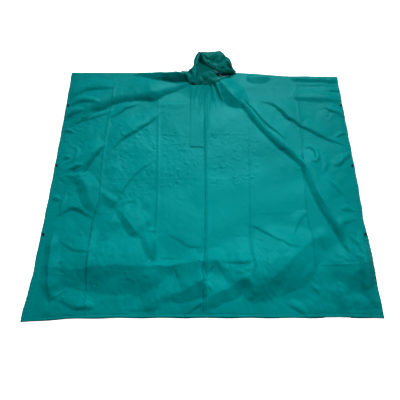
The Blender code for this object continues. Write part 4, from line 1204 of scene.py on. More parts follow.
def turned_mesh(name, section, sides):
    """A closed section of (radius, height) turned about Z."""
    turns = even_turns(sides)
    spots = [(r * np.cos(turn), r * np.sin(turn), z) for turn in turns for r, z in section]
    count = len(section)
    faces = []
    for i in range(sides):
        for k in range(count):
            here, there = i * count, (i + 1) % sides * count
            faces.append((here + k, here + (k + 1) % count, there + (k + 1) % count, there + k))
    return mesh_of(name, spots, faces, weld=SAME_PLACE)


def tube_mesh(name, line, radius, sides, relief=None):
    """A tube along a line with round ends; relief(turn, distance) multiplies its radius."""
    line = np.asarray(line, float)
    run = directions(line)
    gone = np.concatenate([[0], np.cumsum(np.linalg.norm(np.diff(line, axis=0), axis=1))])
    turns = even_turns(sides)
    side = np.cross(run[0], (0.0, 0.0, 1.0))
    spots = []
    for place, way, distance in zip(line, run, gone):
        side = side - way * (side @ way)
        side /= np.linalg.norm(side)
        other = np.cross(way, side)
        from_end = min(distance, gone[-1] - distance)
        closing = math.sqrt(max(TUBE_END, 1 - max(0.0, 1 - from_end / radius) ** 2))
        swell = np.ones(sides) if relief is None else relief(turns, distance)
        for turn, size in zip(turns, swell):
            out = side * math.cos(turn) + other * math.sin(turn)
            spots.append(place + radius * closing * size * out)
    rings = len(line)
    faces = []
    for here in range(0, (rings - 1) * sides, sides):
        for k in range(sides):
            after = (k + 1) % sides
            faces.append((here + k, here + after, here + sides + after, here + sides + k))
    faces.append(tuple(reversed(range(sides))))
    faces.append(tuple((rings - 1) * sides + k for k in range(sides)))
    return mesh_of(name, [tuple(spot) for spot in spots], faces)


def add_piece(name, mesh, material, slot, *nodes):
    """Puts a finished mesh in the scene as a piece of the garment."""
    mesh.name = name
    mesh.materials.clear()
    mesh.materials.append(material)
    mesh.shade_smooth()
    piece = bpy.data.objects.new(name, mesh)
    bpy.context.scene.collection.objects.link(piece)
    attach(piece, BODY)
    if nodes:
        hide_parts(*nodes)
    return piece


def solidify(piece, thickness, offset):
    shell = piece.modifiers.new("cloth", "SOLIDIFY")
    shell.thickness = thickness
    shell.offset = offset
    shell.use_even_offset = False
    shell.use_rim = True


# ---------------- shader groups and materials


def new_group(name, given, made):
    """An empty shader group: `given` has its inputs with their defaults, `made` its outputs."""
    group = bpy.data.node_groups.new(name, "ShaderNodeTree")
    for label, default in given.items():
        socket = group.interface.new_socket(name=label, in_out="INPUT", socket_type="NodeSocketFloat")
        socket.default_value = default
    for label in made:
        group.interface.new_socket(name=label, in_out="OUTPUT", socket_type="NodeSocketFloat")
    return group, group.nodes.new("NodeGroupInput"), group.nodes.new("NodeGroupOutput")


def math_node(tree, operation, first, second=None):
    """A math node; each operand is a socket or a number."""
    node = tree.nodes.new("ShaderNodeMath")
    node.operation = operation
    for socket, value in zip(node.inputs, (first, second)):
        if value is None:
            continue
        if isinstance(value, (int, float)):
            socket.default_value = value
        else:
            tree.links.new(value, socket)
    return node.outputs[0]


def noise_node(tree, vector=None, **values):
    """A noise texture with the given values on its sockets."""
    node = tree.nodes.new("ShaderNodeTexNoise")
    for name, value in values.items():
        node.inputs[name].default_value = value
    if vector is not None:
        tree.links.new(vector, node.inputs["Vector"])
    return node


def shade(colour, share):
    """A colour made darker, or lighter where the share is over 1."""
    return tuple(share * part for part in colour)


def weave_group():
    """Plain weave: over-and-under threads in the two directions of the cloth."""
    if "Plain weave" in bpy.data.node_groups:
        return bpy.data.node_groups["Plain weave"]
    group, given, made = new_group("Plain weave", {"Thread": 0.0008}, ("Height",))
    place = group.nodes.new("ShaderNodeTexCoord")
    parts = group.nodes.new("ShaderNodeSeparateXYZ")
    group.links.new(place.outputs["Object"], parts.inputs[0])
    waves = []
    for axis in ("X", "Y"):
        along = math_node(group, "ADD", parts.outputs[axis], parts.outputs["Z"])
        count = math_node(group, "DIVIDE", along, given.outputs["Thread"])
        waves.append(math_node(group, "SINE", math_node(group, "MULTIPLY", count, math.pi)))
    crossing = math_node(group, "MULTIPLY", *waves)
    group.links.new(math_node(group, "MULTIPLY_ADD", crossing, 0.5), made.inputs["Height"])
    return group


def crumple_group():
    """Fine crumples and the uneven tone of coated cloth."""
    if "Fine crumple" in bpy.data.node_groups:
        return bpy.data.node_groups["Fine crumple"]
    group, given, made = new_group("Fine crumple", {"Size": 0.03}, ("Height", "Tone"))
    place = group.nodes.new("ShaderNodeTexCoord")
    warp = noise_node(group, place.outputs["Object"], Scale=9.0, Detail=3.0)
    bent = group.nodes.new("ShaderNodeVectorMath")
    bent.operation = "MULTIPLY_ADD"
    group.links.new(warp.outputs["Color"], bent.inputs[0])
    bent.inputs[1].default_value = (0.05, 0.05, 0.05)
    group.links.new(place.outputs["Object"], bent.inputs[2])
    scale = math_node(group, "DIVIDE", 1.0, given.outputs["Size"])
    facets = group.nodes.new("ShaderNodeTexVoronoi")
    facets.feature = "DISTANCE_TO_EDGE"
    group.links.new(bent.outputs[0], facets.inputs["Vector"])
    group.links.new(scale, facets.inputs["Scale"])
    ripple = noise_node(group, place.outputs["Object"], Detail=4.0, Roughness=0.6)
    group.links.new(scale, ripple.inputs["Scale"])
    crest = math_node(group, "MINIMUM", facets.outputs["Distance"], 0.30)
    height = math_node(group, "ADD", crest, math_node(group, "MULTIPLY", ripple.outputs["Fac"], 0.35))
    group.links.new(height, made.inputs["Height"])
    tone = noise_node(group, place.outputs["Object"], Scale=3.2, Detail=5.0, Roughness=0.62)
    group.links.new(tone.outputs["Fac"], made.inputs["Tone"])
    return group


def placed_group(tree, group, name, value):
    node = tree.nodes.new("ShaderNodeGroup")
    node.node_tree = group
    node.inputs[name].default_value = value
    return node


def bump(tree, height, distance, strength, under=None):
    node = tree.nodes.new("ShaderNodeBump")
    node.inputs["Strength"].default_value = strength
    node.inputs["Distance"].default_value = distance
    tree.links.new(height, node.inputs["Height"])
    if under is not None:
        tree.links.new(under, node.inputs["Normal"])
    return node.outputs["Normal"]


def mixed_colour(tree, factor, dark, light):
    """A colour between dark and light, by a factor that changes over the surface."""
    node = tree.nodes.new("ShaderNodeMix")
    node.data_type = "RGBA"
    tree.links.new(factor, node.inputs["Factor"])
    node.inputs["A"].default_value = (*dark, 1.0)
    node.inputs["B"].default_value = (*light, 1.0)
    return node.outputs["Result"]


def mapped(tree, value, low, high):
    """A noise's value, brought to run from low to high over the surface."""
    node = tree.nodes.new("ShaderNodeMapRange")
    node.inputs["From Min"].default_value, node.inputs["From Max"].default_value = NOISE_SPAN
    node.inputs["To Min"].default_value = low
    node.inputs["To Max"].default_value = high
    tree.links.new(value, node.inputs["Value"])
    return node.outputs["Result"]


def new_material(name, roughness, specular):
    material = bpy.data.materials.new(name)
    material.use_nodes = True
    shader = material.node_tree.nodes["Principled BSDF"]
    shader.inputs["Roughness"].default_value = roughness
    shader.inputs["Specular IOR Level"].default_value = specular
    return material, material.node_tree, shader


def coated_cloth(name, setting):
    """Thin woven cloth with a waterproof coating: a broad soft sheen, fine crumples, a faint weave and
    painted shade along the packing creases.

    `setting` is the one that has its colour.
    """
    if name in bpy.data.materials:
        return bpy.data.materials[name]
    looks = bpy.context.scene.poncho_cloth
    colour = tuple(getattr(looks, setting))
    material, tree, shader = new_material(name, looks.roughness, looks.sheen)
    weave = placed_group(tree, weave_group(), "Thread", looks.thread)
    crumple = placed_group(tree, crumple_group(), "Size", looks.crumple_size)
    dark, light = (shade(colour, share) for share in CLOTH_TONES)
    tone = mapped(tree, crumple.outputs["Tone"], 0.0, 1.0)
    # Painted shade: the base colour darkens towards a share of the cloth's colour along the packing
    # creases, by the mesh's crease attribute.
    marks = tree.nodes.new("ShaderNodeAttribute")
    marks.attribute_name = CREASE_SHADE_ATTRIBUTE
    crease_shaded = mixed_colour(tree, marks.outputs["Fac"], dark, shade(colour, CREASE_SHADE_DARK))
    tree.links.new(mixed_colour(tree, tone, dark, light), crease_shaded.node.inputs["A"])
    tree.links.new(crease_shaded, shader.inputs["Base Color"])
    spread = ROUGHNESS_SPREAD
    rough = mapped(tree, crumple.outputs["Tone"], looks.roughness + spread, looks.roughness - spread)
    tree.links.new(rough, shader.inputs["Roughness"])
    normal = bump(tree, crumple.outputs["Height"], distance=0.004, strength=looks.crumple)
    normal = bump(tree, weave.outputs["Height"], distance=0.0002, strength=0.25, under=normal)
    tree.links.new(normal, shader.inputs["Normal"])
    shader.inputs["Specular Tint"].default_value = (*looks.sheen_colour, 1.0)
    return material


def thread_material():
    """Spun sewing thread, a shade darker than the cloth."""
    if "sewing_thread" in bpy.data.materials:
        return bpy.data.materials["sewing_thread"]
    looks = bpy.context.scene.poncho_cloth
    material, tree, shader = new_material("sewing_thread", roughness=0.6, specular=0.3)
    fibre = noise_node(tree, Scale=900.0).outputs["Fac"]
    light = tuple(looks.thread_colour)
    tree.links.new(mixed_colour(tree, fibre, shade(light, 0.7), light), shader.inputs["Base Color"])
    tree.links.new(bump(tree, fibre, distance=0.0002, strength=0.4), shader.inputs["Normal"])
    return material


def cord_material():
    """Pale braided cord, its colour mixed with fine darker specks."""
    material, tree, shader = new_material("pale_braid", roughness=0.7, specular=0.3)
    fibre = noise_node(tree, Scale=1400.0, Detail=3.0).outputs["Fac"]
    light = tuple(bpy.context.scene.poncho_trims.cord_colour)
    tree.links.new(mixed_colour(tree, fibre, shade(light, 0.55), light), shader.inputs["Base Color"])
    tree.links.new(bump(tree, fibre, distance=0.0002, strength=0.5), shader.inputs["Normal"])
    return material


def moulded_material(name, colour, roughness):
    """Moulded plastic with a faint grain and lighter high spots of wear."""
    if name in bpy.data.materials:
        return bpy.data.materials[name]
    material, tree, shader = new_material(name, roughness, specular=0.06)
    grain = noise_node(tree, Scale=700.0, Detail=4.0).outputs["Fac"]
    light = tuple(min(1.0, 1.7 * part + 0.004) for part in colour)
    rough = mapped(tree, grain, roughness - 0.06, roughness + 0.1)
    tree.links.new(mixed_colour(tree, grain, tuple(colour), light), shader.inputs["Base Color"])
    tree.links.new(rough, shader.inputs["Roughness"])
    tree.links.new(bump(tree, grain, distance=0.0001, strength=0.3), shader.inputs["Normal"])
    return material


def cloth_material():
    return coated_cloth("coated_teal", "colour")


def shaded_hood_material():
    """The same cloth in a darker colour, which is painted shade: the dark hollow under the hood lends it
    none of the light that the body's cloth gets.
    """
    return coated_cloth("coated_teal_hood", "hood_colour")


def glowing_lining_material():
    """The inside of the hood, with a painted glow: it gives off light of its own, standing in for light
    that comes through the thin cloth, and dims to painted shade farther in.
    """
    if "coated_teal_lining" in bpy.data.materials:
        return bpy.data.materials["coated_teal_lining"]
    material = coated_cloth("coated_teal_lining", "hood_colour")
    tree = material.node_tree
    shader = tree.nodes["Principled BSDF"]
    place = tree.nodes.new("ShaderNodeTexCoord")
    depth = tree.nodes.new("ShaderNodeVectorMath")
    depth.operation = "DOT_PRODUCT"
    depth.inputs[1].default_value = (LINING_LEAN, 1.0, 0.0)
    tree.links.new(place.outputs["Object"], depth.inputs[0])
    lean = LINING_LEAN * to_x(LINING_LEAN_FROM)
    near = tree.nodes.new("ShaderNodeMapRange")
    near.inputs["From Min"].default_value = to_y(-LINING_DARK_FROM) + lean
    near.inputs["From Max"].default_value = to_y(-LINING_LIT_TO) + lean
    tree.links.new(depth.outputs["Value"], near.inputs["Value"])
    lit = tuple(bpy.context.scene.poncho_cloth.lining_painted_glow)
    glow = mixed_colour(tree, near.outputs["Result"], shade(lit, LINING_DARK), lit)
    # Painted light: the lining glows though it is no lamp, dimmer farther into the hood.
    tree.links.new(glow, shader.inputs["Emission Color"])
    shader.inputs["Emission Strength"].default_value = 1.0
    return material


# The right casing's cloth, in a darker colour that is painted shade.
def shaded_casing_material():
    return coated_cloth("coated_teal_casing", "casing_colour")


# ---------------- pieces


def lit_rows(height_of, places, lift):
    """Points in the row frame over (across, down) places, lifted off the cloth under them."""
    across, down = np.asarray(places, float).T
    return placed(across, down, height_of(across, down) + lift)


def stitch_mesh(name, lines):
    """Sewing: a short spindle of thread for each stitch along the lines."""
    sides = STITCH_SIDES
    turns = even_turns(sides)
    last = sides * (len(STITCH_RINGS) - 1)
    spots, faces = [], []
    for line in lines:
        marks = resampled(line, STITCH_PITCH)
        for place, run in zip(marks[1:-1], directions(marks)[1:-1]):
            side = np.cross(run, (0, 0, 1))
            side /= max(np.linalg.norm(side), NO_LENGTH)
            other = np.cross(side, run)
            first = len(spots)
            for along, size in STITCH_RINGS:
                centre = place + run * along * STITCH_LENGTH / 2 - other * STITCH_DIP * along**2
                for turn in turns:
                    out = side * math.cos(turn) + other * math.sin(turn)
                    spots.append(tuple(centre + out * size * STITCH_RADIUS))
            for here in range(first, first + last, sides):
                for k in range(sides):
                    there, after = here + sides, (k + 1) % sides
                    faces.append((here + k, there + k, there + after, here + after))
            faces.append(tuple(first + k for k in range(sides)))
            faces.append(tuple(first + last + k for k in reversed(range(sides))))
    return mesh_of(name, spots, faces, weld=0)


def build_back():
    """The back: a flat sheet under everything, a little wider than the front."""
    outline = body_outline(BACK_STEP)
    across, down = outline.T
    at_side = np.sign(across) * (np.abs(across) > SHOULDER_HALF_WIDTH - BACK_SIDE_MARGIN)
    at_hem = down > BODY_LENGTH - BACK_HEM_MARGIN
    waver = BACK_WAVER * np.sin(BACK_WAVES[0] * down + BACK_WAVES[1] * across)
    outline = outline + (BACK_SHOWS - BACK_TRIM + waver)[:, None] * np.column_stack([at_side, at_hem])
    cutting = Cutting(outline, BACK_CLOSEST)
    cutting.add_grid(BACK_GRID)
    cut = cutting.triangles()
    flat = np.zeros(len(cut[0]))
    mesh = closed_cloth("back_cloth", cut, flat + CLOTH, cut, flat)
    piece = add_piece("back_cloth", mesh, cloth_material(), "coated_cloth", "back_panel")


def hem_lines(inset, samples):
    """(across, down) lines that far inside the hem and the two side edges."""
    share = inset / (2 * SHOULDER_HALF_WIDTH)
    steps = np.linspace(0, 1, samples)
    ways = (
        (steps, 0 * steps + 1 - inset / BODY_LENGTH),
        (0 * steps + share, steps),
        (0 * steps + 1 - share, steps),
    )
    return [np.column_stack(body_points(*way)) for way in ways]


def build_front():
    """The front: the draped sheet that shows, with its folds, press lines, crumples and hems."""
    outline = body_outline(OUTLINE_STEP, NECK_EDGE)
    cutting = Cutting(outline, CLOSEST)
    lines = []
    for inset in HEM_INSETS:
        lines += hem_lines(inset, HEM_LINE_SAMPLES)
    for flank in FLANKS:
        lines += [fold_line(fold, flank) for fold in (*FOLDS, *GATHERS)]
    for fold in PRESS_LINES:
        lines += [fold_line(fold, flank) for flank in CREASE_FLANKS]
    lines += [fold_line(crease, 0.0) for crease in SMALL_CREASES]
    cutting.add_lines(lines)
    cutting.add_grid(GRID_STEP)
    top = cutting.triangles()

    plain = Cutting(outline, CLOSEST)
    plain.add_grid(UNDER_STEP)
    under = plain.triangles()
    top_z = front_top(*top[0].T)
    across, down = under[0].T
    near = (-UNDER_LOOK, UNDER_LOOK)
    around = [front_top(across + i, down + j) for i in near for j in near]
    under_z = np.maximum(np.min(around, axis=0) - 2 * CLOTH, FRONT_REST - SEAM_GAP)
    rim = np.array(under[2])
    under_z[rim] = front_top(across[rim], down[rim]) - THIN_CLOTH
    mesh = closed_cloth("front_cloth", top, top_z, under, under_z)
    # The painted crease shade goes on the upper face's points; the under face gets none.
    marks = np.concatenate([crease_marks(*top[0].T), np.zeros(len(under[0]))])
    crease_shade = mesh.attributes.new(CREASE_SHADE_ATTRIBUTE, "FLOAT", "POINT")
    crease_shade.data.foreach_set("value", marks.astype(np.float32))
    piece = add_piece("front_cloth", mesh, cloth_material(), "coated_cloth", "front_panel")


def flap_height(across, down):
    """The flap follows the front under it, and its free left edge stands off a little."""
    share = ramp(across - FLAP_LEFT, FLAP_RIGHT - FLAP_LEFT)
    free_edge = FLAP_LIFT * np.exp(-share / FLAP_LIFT_SHARE) * ramp(FLAP_BOTTOM - down, FLAP_FOOT)
    channel = -FLAP_CHANNEL * np.exp(-(((share - FLAP_SEAMS[1]) / FLAP_CHANNEL_SHARE) ** 2))
    return front_top(across, down) + LAP_CLEAR * FLAP_CLEAR + free_edge + channel


def build_flap():
    """The flap over the neck opening."""
    def place(s, t):
        across = FLAP_LEFT + (FLAP_RIGHT - FLAP_LEFT) * s
        down = FLAP_TOP + (FLAP_BOTTOM - FLAP_TOP) * t
        return placed(across, down, flap_height(across, down))

    mesh = grid_mesh("front_flap", *FLAP_GRID, place)
    piece = add_piece("front_flap", mesh, cloth_material(), "coated_cloth", "front_placket")
    solidify(piece, THIN_CLOTH, 1.0)


def seat_on_front(points, clear):
    """Lifts what reaches over the front's neck edge until it is `clear` above the front's face."""
    across, down = points[:, 0] - SHIFT_X, SHIFT_Y - points[:, 1]
    on_body = (down > edge(SHOULDER_LINE, across) - CLOTH) & (points[:, 2] > 2 * CLOTH)
    seat = np.where(on_body, front_height(across, down, FOLDS) + CLOTH + clear, 0)
    points[:, 2] = np.maximum(points[:, 2], seat)
    return points


def neck_end(across):
    """Where a strand of the hood meets the back panel's neck edge."""
    return to_x(across), to_y(edge(SHOULDER_LINE, across) - 2 * SEAM_GAP), HOOD_UNDER_Z


def hood_surface(rows):
    """A function giving the hood's outer surface for shares s along the rows and t along a row."""
    controls = np.array([
        [(to_x(a), to_y(-up), z + HOOD_UNDER_Z) for a, up, z in row[1:-1]] + [neck_end(row.neck_across)]
        for row in rows
    ])

    def surface(s, t):
        strands = np.array([spline(controls[:, i], s) for i in range(controls.shape[1])])
        points = spline_each(strands, t)
        points[:, 2] = np.maximum(points[:, 2], HOOD_UNDER_Z)
        return seat_on_front(points, LAP_CLEAR + CLOTH + 2 * SEAM_GAP)

    return surface


def outward(surface, s, t):
    """Unit normals of a surface, by small steps along it."""
    along_s = surface(np.minimum(s + NORMAL_STEP, 1), t) - surface(np.maximum(s - NORMAL_STEP, 0), t)
    along_t = surface(s, np.minimum(t + NORMAL_STEP, 1)) - surface(s, np.maximum(t - NORMAL_STEP, 0))
    normal = np.cross(along_s, along_t)
    return normal / np.maximum(np.linalg.norm(normal, axis=1), NO_LENGTH)[:, None]


def hood_length(rows):
    crests = np.array([row.crest for row in rows])
    return np.linalg.norm(np.diff(crests, axis=0), axis=1).sum()


def build_hood_panel(name, node, rows, outer):
    """One side of the hood, slouched, with crumples that die away at its seams and on the surface."""
    surface = hood_surface(rows)
    foot, calm_foot = HOOD_CALM_FOOT
    fine_height, fine_size = HOOD_FINE

    def place(s, t):
        points = surface(s, t)
        normals = outer * outward(surface, s, t)
        free = ramp(t, HOOD_CALM_RIM) * ramp(foot - t, calm_foot)
        free *= ramp(s, HOOD_CALM_SEAM) * ramp(1 - s, HOOD_CALM_SEAM)
        along, around = s * hood_length(rows), t * HOOD_ROUND
        lift = HOOD_CRUMPLE * facets(along, around, HOOD_CRUMPLE_SIZE, *HOOD_FACETS)
        fine = facets(along, around, fine_size * HOOD_CRUMPLE_SIZE, *HOOD_FINE_FACETS)
        lift += fine_height * HOOD_CRUMPLE * fine
        return points + normals * (lift * free)[:, None]

    columns = round(hood_length(rows) / HOOD_STEP)
    mesh = grid_mesh(name, columns, HOOD_ROUND_SAMPLES, place)
    # One face of each panel takes the lining's painted glow, the other the hood's darker colour, which is
    # painted shade.
    sides = [glowing_lining_material(), shaded_hood_material()]
    if outer < 0:
        sides.reverse()
    piece = add_piece(name, mesh, sides[0], "coated_cloth", node)
    mesh.materials.append(sides[1])
    solidify(piece, THIN_CLOTH, outer)
    piece.modifiers["cloth"].material_offset = 1
    return piece


def share_at(surface, s, distance):
    """How far along each row lies the given distance from the rim."""
    trial = np.linspace(0, CASING_REACH, CASING_TRIALS)
    places, rows = np.unique(np.round(s, 9), return_inverse=True)
    lines = surface(np.repeat(places, CASING_TRIALS), np.tile(trial, len(places)))
    lines = lines.reshape(len(places), CASING_TRIALS, 3)
    travelled = np.cumsum(np.linalg.norm(np.diff(lines, axis=1), axis=2), axis=1)
    travelled = np.hstack([np.zeros((len(places), 1)), travelled])
    return np.array([np.interp(far, travelled[row], trial) for row, far in zip(rows, distance)])


def casing_line(rows, outer, ends, share_across, lift, count=60):
    """Points along a casing at a share of its width, lifted off the hood."""
    surface = hood_surface(rows)
    s = np.linspace(ends[0], ends[1], count)
    distance = np.full(count, CASING_FROM_RIM + share_across * CASING_WIDTH)
    t = share_at(surface, s, distance)
    return surface(s, t) + outer * lift * outward(surface, s, t)


def build_casing(name, node, rows, outer, ends, material):
    """The cord channel along a face edge: a doubled strip, plump over the cord and puckered by it."""
    surface = hood_surface(rows)
    length = hood_length(rows)

    def place(s, t):
        along = ends[0] + (ends[1] - ends[0]) * s
        across = ramp(t - CASING_TURN, 1 - CASING_TURN)
        share = share_at(surface, along, CASING_FROM_RIM + across * CASING_WIDTH)
        under_rim = ramp(CASING_TURN - t, CASING_TURN)
        plump = np.sin(np.pi * ramp(across, CASING_PLUMP_TO)) ** CASING_PLUMP_ROUND * CASING_BULGE
        turn = 2 * np.pi * along * length / CASING_PUCKER_PITCH + CASING_PUCKER_SLANT * across
        pucker = CASING_PUCKER * np.sin(turn) * np.sin(np.pi * across)
        lift = CASING_CLEAR + plump + pucker - under_rim * CASING_TUCK
        return surface(along, share) + outer * lift[:, None] * outward(surface, along, share)

    mesh = grid_mesh(name, round(length / CASING_STEP), CASING_ROWS, place)
    piece = add_piece(name, mesh, material, "casing_cloth", node)
    solidify(piece, THIN_CLOTH, -outer)


def collar_point(s, t):
    """A place on the chin piece, gathered into the neck seam and turned over at its top edge."""
    across, seam_down, top_down, top_z, bulge = spline(np.array(COLLAR), s).T
    down = seam_down + (top_down - seam_down) * t
    seam_z = front_height(across, seam_down, FOLDS) + CLOTH + LAP_CLEAR
    z = seam_z + (top_z - seam_z) * t + bulge * np.sin(np.pi * t)
    stray, stray_waves = CHIN_GATHER_STRAY
    turn = 2 * np.pi * across / CHIN_GATHER_PITCH + stray * np.sin(stray_waves * across)
    gathers = CHIN_GATHER * np.sin(turn) * (1 - t) ** 2 * np.sqrt(t)
    crumples = CHIN_CRUMPLE * facets(across, down, *CHIN_FACETS) * np.sqrt(np.sin(np.pi * t))
    crumples *= ramp(s, CHIN_CALM) * ramp(1 - s, CHIN_CALM)
    return seat_on_front(placed(across, down, z + gathers + crumples), LAP_CLEAR)


def build_chin():
    """The chin piece, standing from the neck seam and leaning back into the hood."""
    mesh = grid_mesh("chin_piece", *CHIN_GRID, collar_point)
    # The chin piece takes the hood's darker colour, which is painted shade.
    piece = add_piece("chin_piece", mesh, shaded_hood_material(), "coated_cloth", "chin_collar")
    solidify(piece, THIN_CLOTH, -1.0)
    return piece


def stand_on(mesh, normal, centre):
    """Turns a mesh's Z to the normal, and moves its origin to the centre."""
    mesh.transform(normal.to_track_quat("Z", "Y").to_matrix().to_4x4())
    for vert in mesh.vertices:
        vert.co += centre


def build_snap(name, node, across, down, front_face):
    """A snap's cap, seated square on the front."""
    above, below = 1.0, Vector((0, 0, -1))
    middle, *_ = front_face.ray_cast(Vector((to_x(across), to_y(down), above)), below)
    spread = []
    for turn in even_turns(SNAP_TRIALS):
        side = Vector((np.cos(turn), np.sin(turn), 0)) * SNAP_RADIUS * SNAP_TRIAL_REACH
        found, *_ = front_face.ray_cast(Vector((middle.x, middle.y, above)) + side, below)
        if found is not None:
            spread.append(found)
    tilts = ((b - middle).cross(c - middle) for b, c in zip(spread, spread[1:]))
    normal = sum(tilts, Vector()).normalized()
    proud = max((place - middle).dot(normal) for place in spread)
    section = [(SNAP_RADIUS * r, SNAP_HEIGHT * z) for r, z in SNAP_SECTION]
    mesh = turned_mesh(name, section, SNAP_SIDES)
    stand_on(mesh, normal, middle + normal * (max(proud, 0.0) * 0.5 + SNAP_HEIGHT * SNAP_SEAT))
    trims = bpy.context.scene.poncho_trims
    material = moulded_material("snap_black_gloss", tuple(trims.snap_colour), roughness=0.32)
    add_piece(name, mesh, material, "snap_black", node)


def cord_line(count):
    route = [(to_x(p.across), to_y(p.down), p.z) for p in CORD_ROUTE]
    return spline(route, np.linspace(0, 1, count))


def build_cord():
    """The drawcord's free end with the lock on it and the knot that ends it."""
    def braid(turns, distance):
        lay = distance / BRAID_LAY * 2 * np.pi
        strands = np.cos(BRAID_STRANDS * turns + lay) + np.cos(BRAID_STRANDS * turns - lay)
        return 1 + BRAID_DEPTH * strands - BRAID_SUNK

    line = cord_line(CORD_SAMPLES)
    mesh = tube_mesh("drawcord_braid", line, CORD_RADIUS, CORD_SIDES, braid)
    cord = add_piece("drawcord_braid", mesh, cord_material(), "cord_pale", "drawcord")
    lock = build_lock()
    knot = build_knot()


def build_lock():
    """The sliding lock: a ribbed barrel, bored for the cord."""
    outer, inner, end = LOCK_RADIUS, LOCK_BORE_RADIUS, LOCK_LENGTH / 2
    section = [(inner, -end + LOCK_BEVEL), (inner + LOCK_BEVEL, -end), (outer - LOCK_ROUND, -end)]
    for z in np.linspace(-end + LOCK_ROUND, end - LOCK_ROUND, LOCK_RIB_SAMPLES):
        rib = LOCK_RIB * (0.5 + 0.5 * math.cos(2 * math.pi * z / LOCK_RIB_PITCH))
        section.append((outer - LOCK_RIB + rib, z))
    section += [(outer - LOCK_ROUND, end), (inner + LOCK_BEVEL, end), (inner, end - LOCK_BEVEL)]
    mesh = turned_mesh("cord_lock_barrel", section, LOCK_SIDES)
    around = CORD_ROUTE[LOCK_AT - 1:LOCK_AT + 2]
    before, centre, after = (Vector((to_x(p.across), to_y(p.down), p.z)) for p in around)
    stand_on(mesh, after - before, centre)
    trims = bpy.context.scene.poncho_trims
    material = moulded_material("lock_navy_plastic", tuple(trims.lock_colour), roughness=0.38)
    return add_piece("cord_lock_barrel", mesh, material, "lock_navy", "cord_lock")


def build_knot():
    """A small overhand knot, pulled tight."""
    turns = np.linspace(0, 2 * np.pi, 90)
    loops = KNOT_RADIUS * KNOT_LOOP * np.column_stack([
        np.sin(turns) + KNOT_CROSSING * np.sin(2 * turns),
        np.cos(turns) - KNOT_CROSSING * np.cos(2 * turns),
        -KNOT_DEPTH * np.sin(3 * turns),
    ])
    line = cord_line(40)
    ahead = line[-1] - line[-2]
    ahead /= np.linalg.norm(ahead)
    centre = line[-1] + ahead * (KNOT_RADIUS * KNOT_TIGHT)
    mesh = tube_mesh("cord_knot_pulled", loops + centre, CORD_RADIUS * KNOT_TIGHT, KNOT_SIDES)
    return add_piece("cord_knot_pulled", mesh, bpy.data.materials["pale_braid"], "cord_pale", "cord_knot")


def sew(name, lines, slot):
    add_piece(name, stitch_mesh(name, lines), thread_material(), slot)


def build_sewing():
    """Stitch lines: hems, flap, casings and neck seam."""
    sunk = STITCH_RADIUS * STITCH_SUNK
    hem, *sides = hem_lines(HEM_WIDTH, SEAM_SAMPLES)
    hem = hem[np.abs(hem[:, 0]) < HEM_HALF_WIDTH - SEAM_INSET]
    sew("hem_stitching", [lit_rows(front_top, line, sunk) for line in (hem, *sides)], "coated_cloth")

    down = np.linspace(FLAP_TOP + 0.004, FLAP_BOTTOM - 0.006, 240)
    width = FLAP_RIGHT - FLAP_LEFT
    lines = [np.column_stack([0 * down + FLAP_LEFT + width * share, down]) for share in FLAP_SEAMS]
    across = np.linspace(FLAP_LEFT + 0.006, FLAP_RIGHT - 0.006, 60)
    lines += [np.column_stack([across, 0 * across + FLAP_BOTTOM - inset]) for inset in FLAP_FOOT_SEAMS]
    lines = [lit_rows(flap_height, line, sunk + THIN_CLOTH) for line in lines]
    sew("flap_stitching", lines, "coated_cloth")

    lift = CASING_CLEAR + CASING_SEAM_LIFT
    right = casing_line(HOOD_RIGHT, 1.0, CASING_ENDS_RIGHT, CASING_SEAM, lift)
    left = casing_line(HOOD_LEFT, -1.0, CASING_ENDS_LEFT, CASING_SEAM, lift)
    sew("casing_stitching", [right, left], "casing_cloth")

    places = np.linspace(*CHIN_SEAM_ENDS, 160)
    seams = [collar_point(places, np.full(160, share)) + CHIN_SEAM_LIFT for share in CHIN_SEAMS]
    sew("neck_stitching", seams, "coated_cloth")


# ---------------- the stage


def build_floor():
    """A plain white floor, bright enough to read as white paper."""
    stage = bpy.context.scene.poncho_stage

    def place(s, t):
        return np.column_stack([(s - 0.5) * FLOOR_SIZE, (t - 0.5) * FLOOR_SIZE, 0 * s - FLOOR_DROP])

    mesh = grid_mesh("floor", 2, 2, place)
    material, tree, shader = new_material("white_floor", roughness=0.9, specular=0.1)
    seen = tree.nodes.new("ShaderNodeLightPath").outputs["Is Camera Ray"]
    paper = mixed_colour(tree, seen, shade(WHITE, FLOOR_IN_REFLECTIONS), shade(WHITE, FLOOR_PAPER))
    tree.links.new(paper, shader.inputs["Base Color"])
    tree.links.new(mixed_colour(tree, seen, BLACK, WHITE), shader.inputs["Emission Color"])
    shader.inputs["Emission Strength"].default_value = stage.floor_glow
    mesh.materials.append(material)
    floor = bpy.data.objects.new("floor", mesh)
    bpy.context.scene.collection.objects.link(floor)


def aimed(name, data, place, aim):
    """Hangs a light or a camera at a place, turned to what it is aimed at."""
    hung = bpy.data.objects.new(name, data)
    hung.location = place
    hung.rotation_euler = (Vector(aim) - Vector(place)).to_track_quat("-Z", "Y").to_euler()
    bpy.context.scene.collection.objects.link(hung)
    return hung


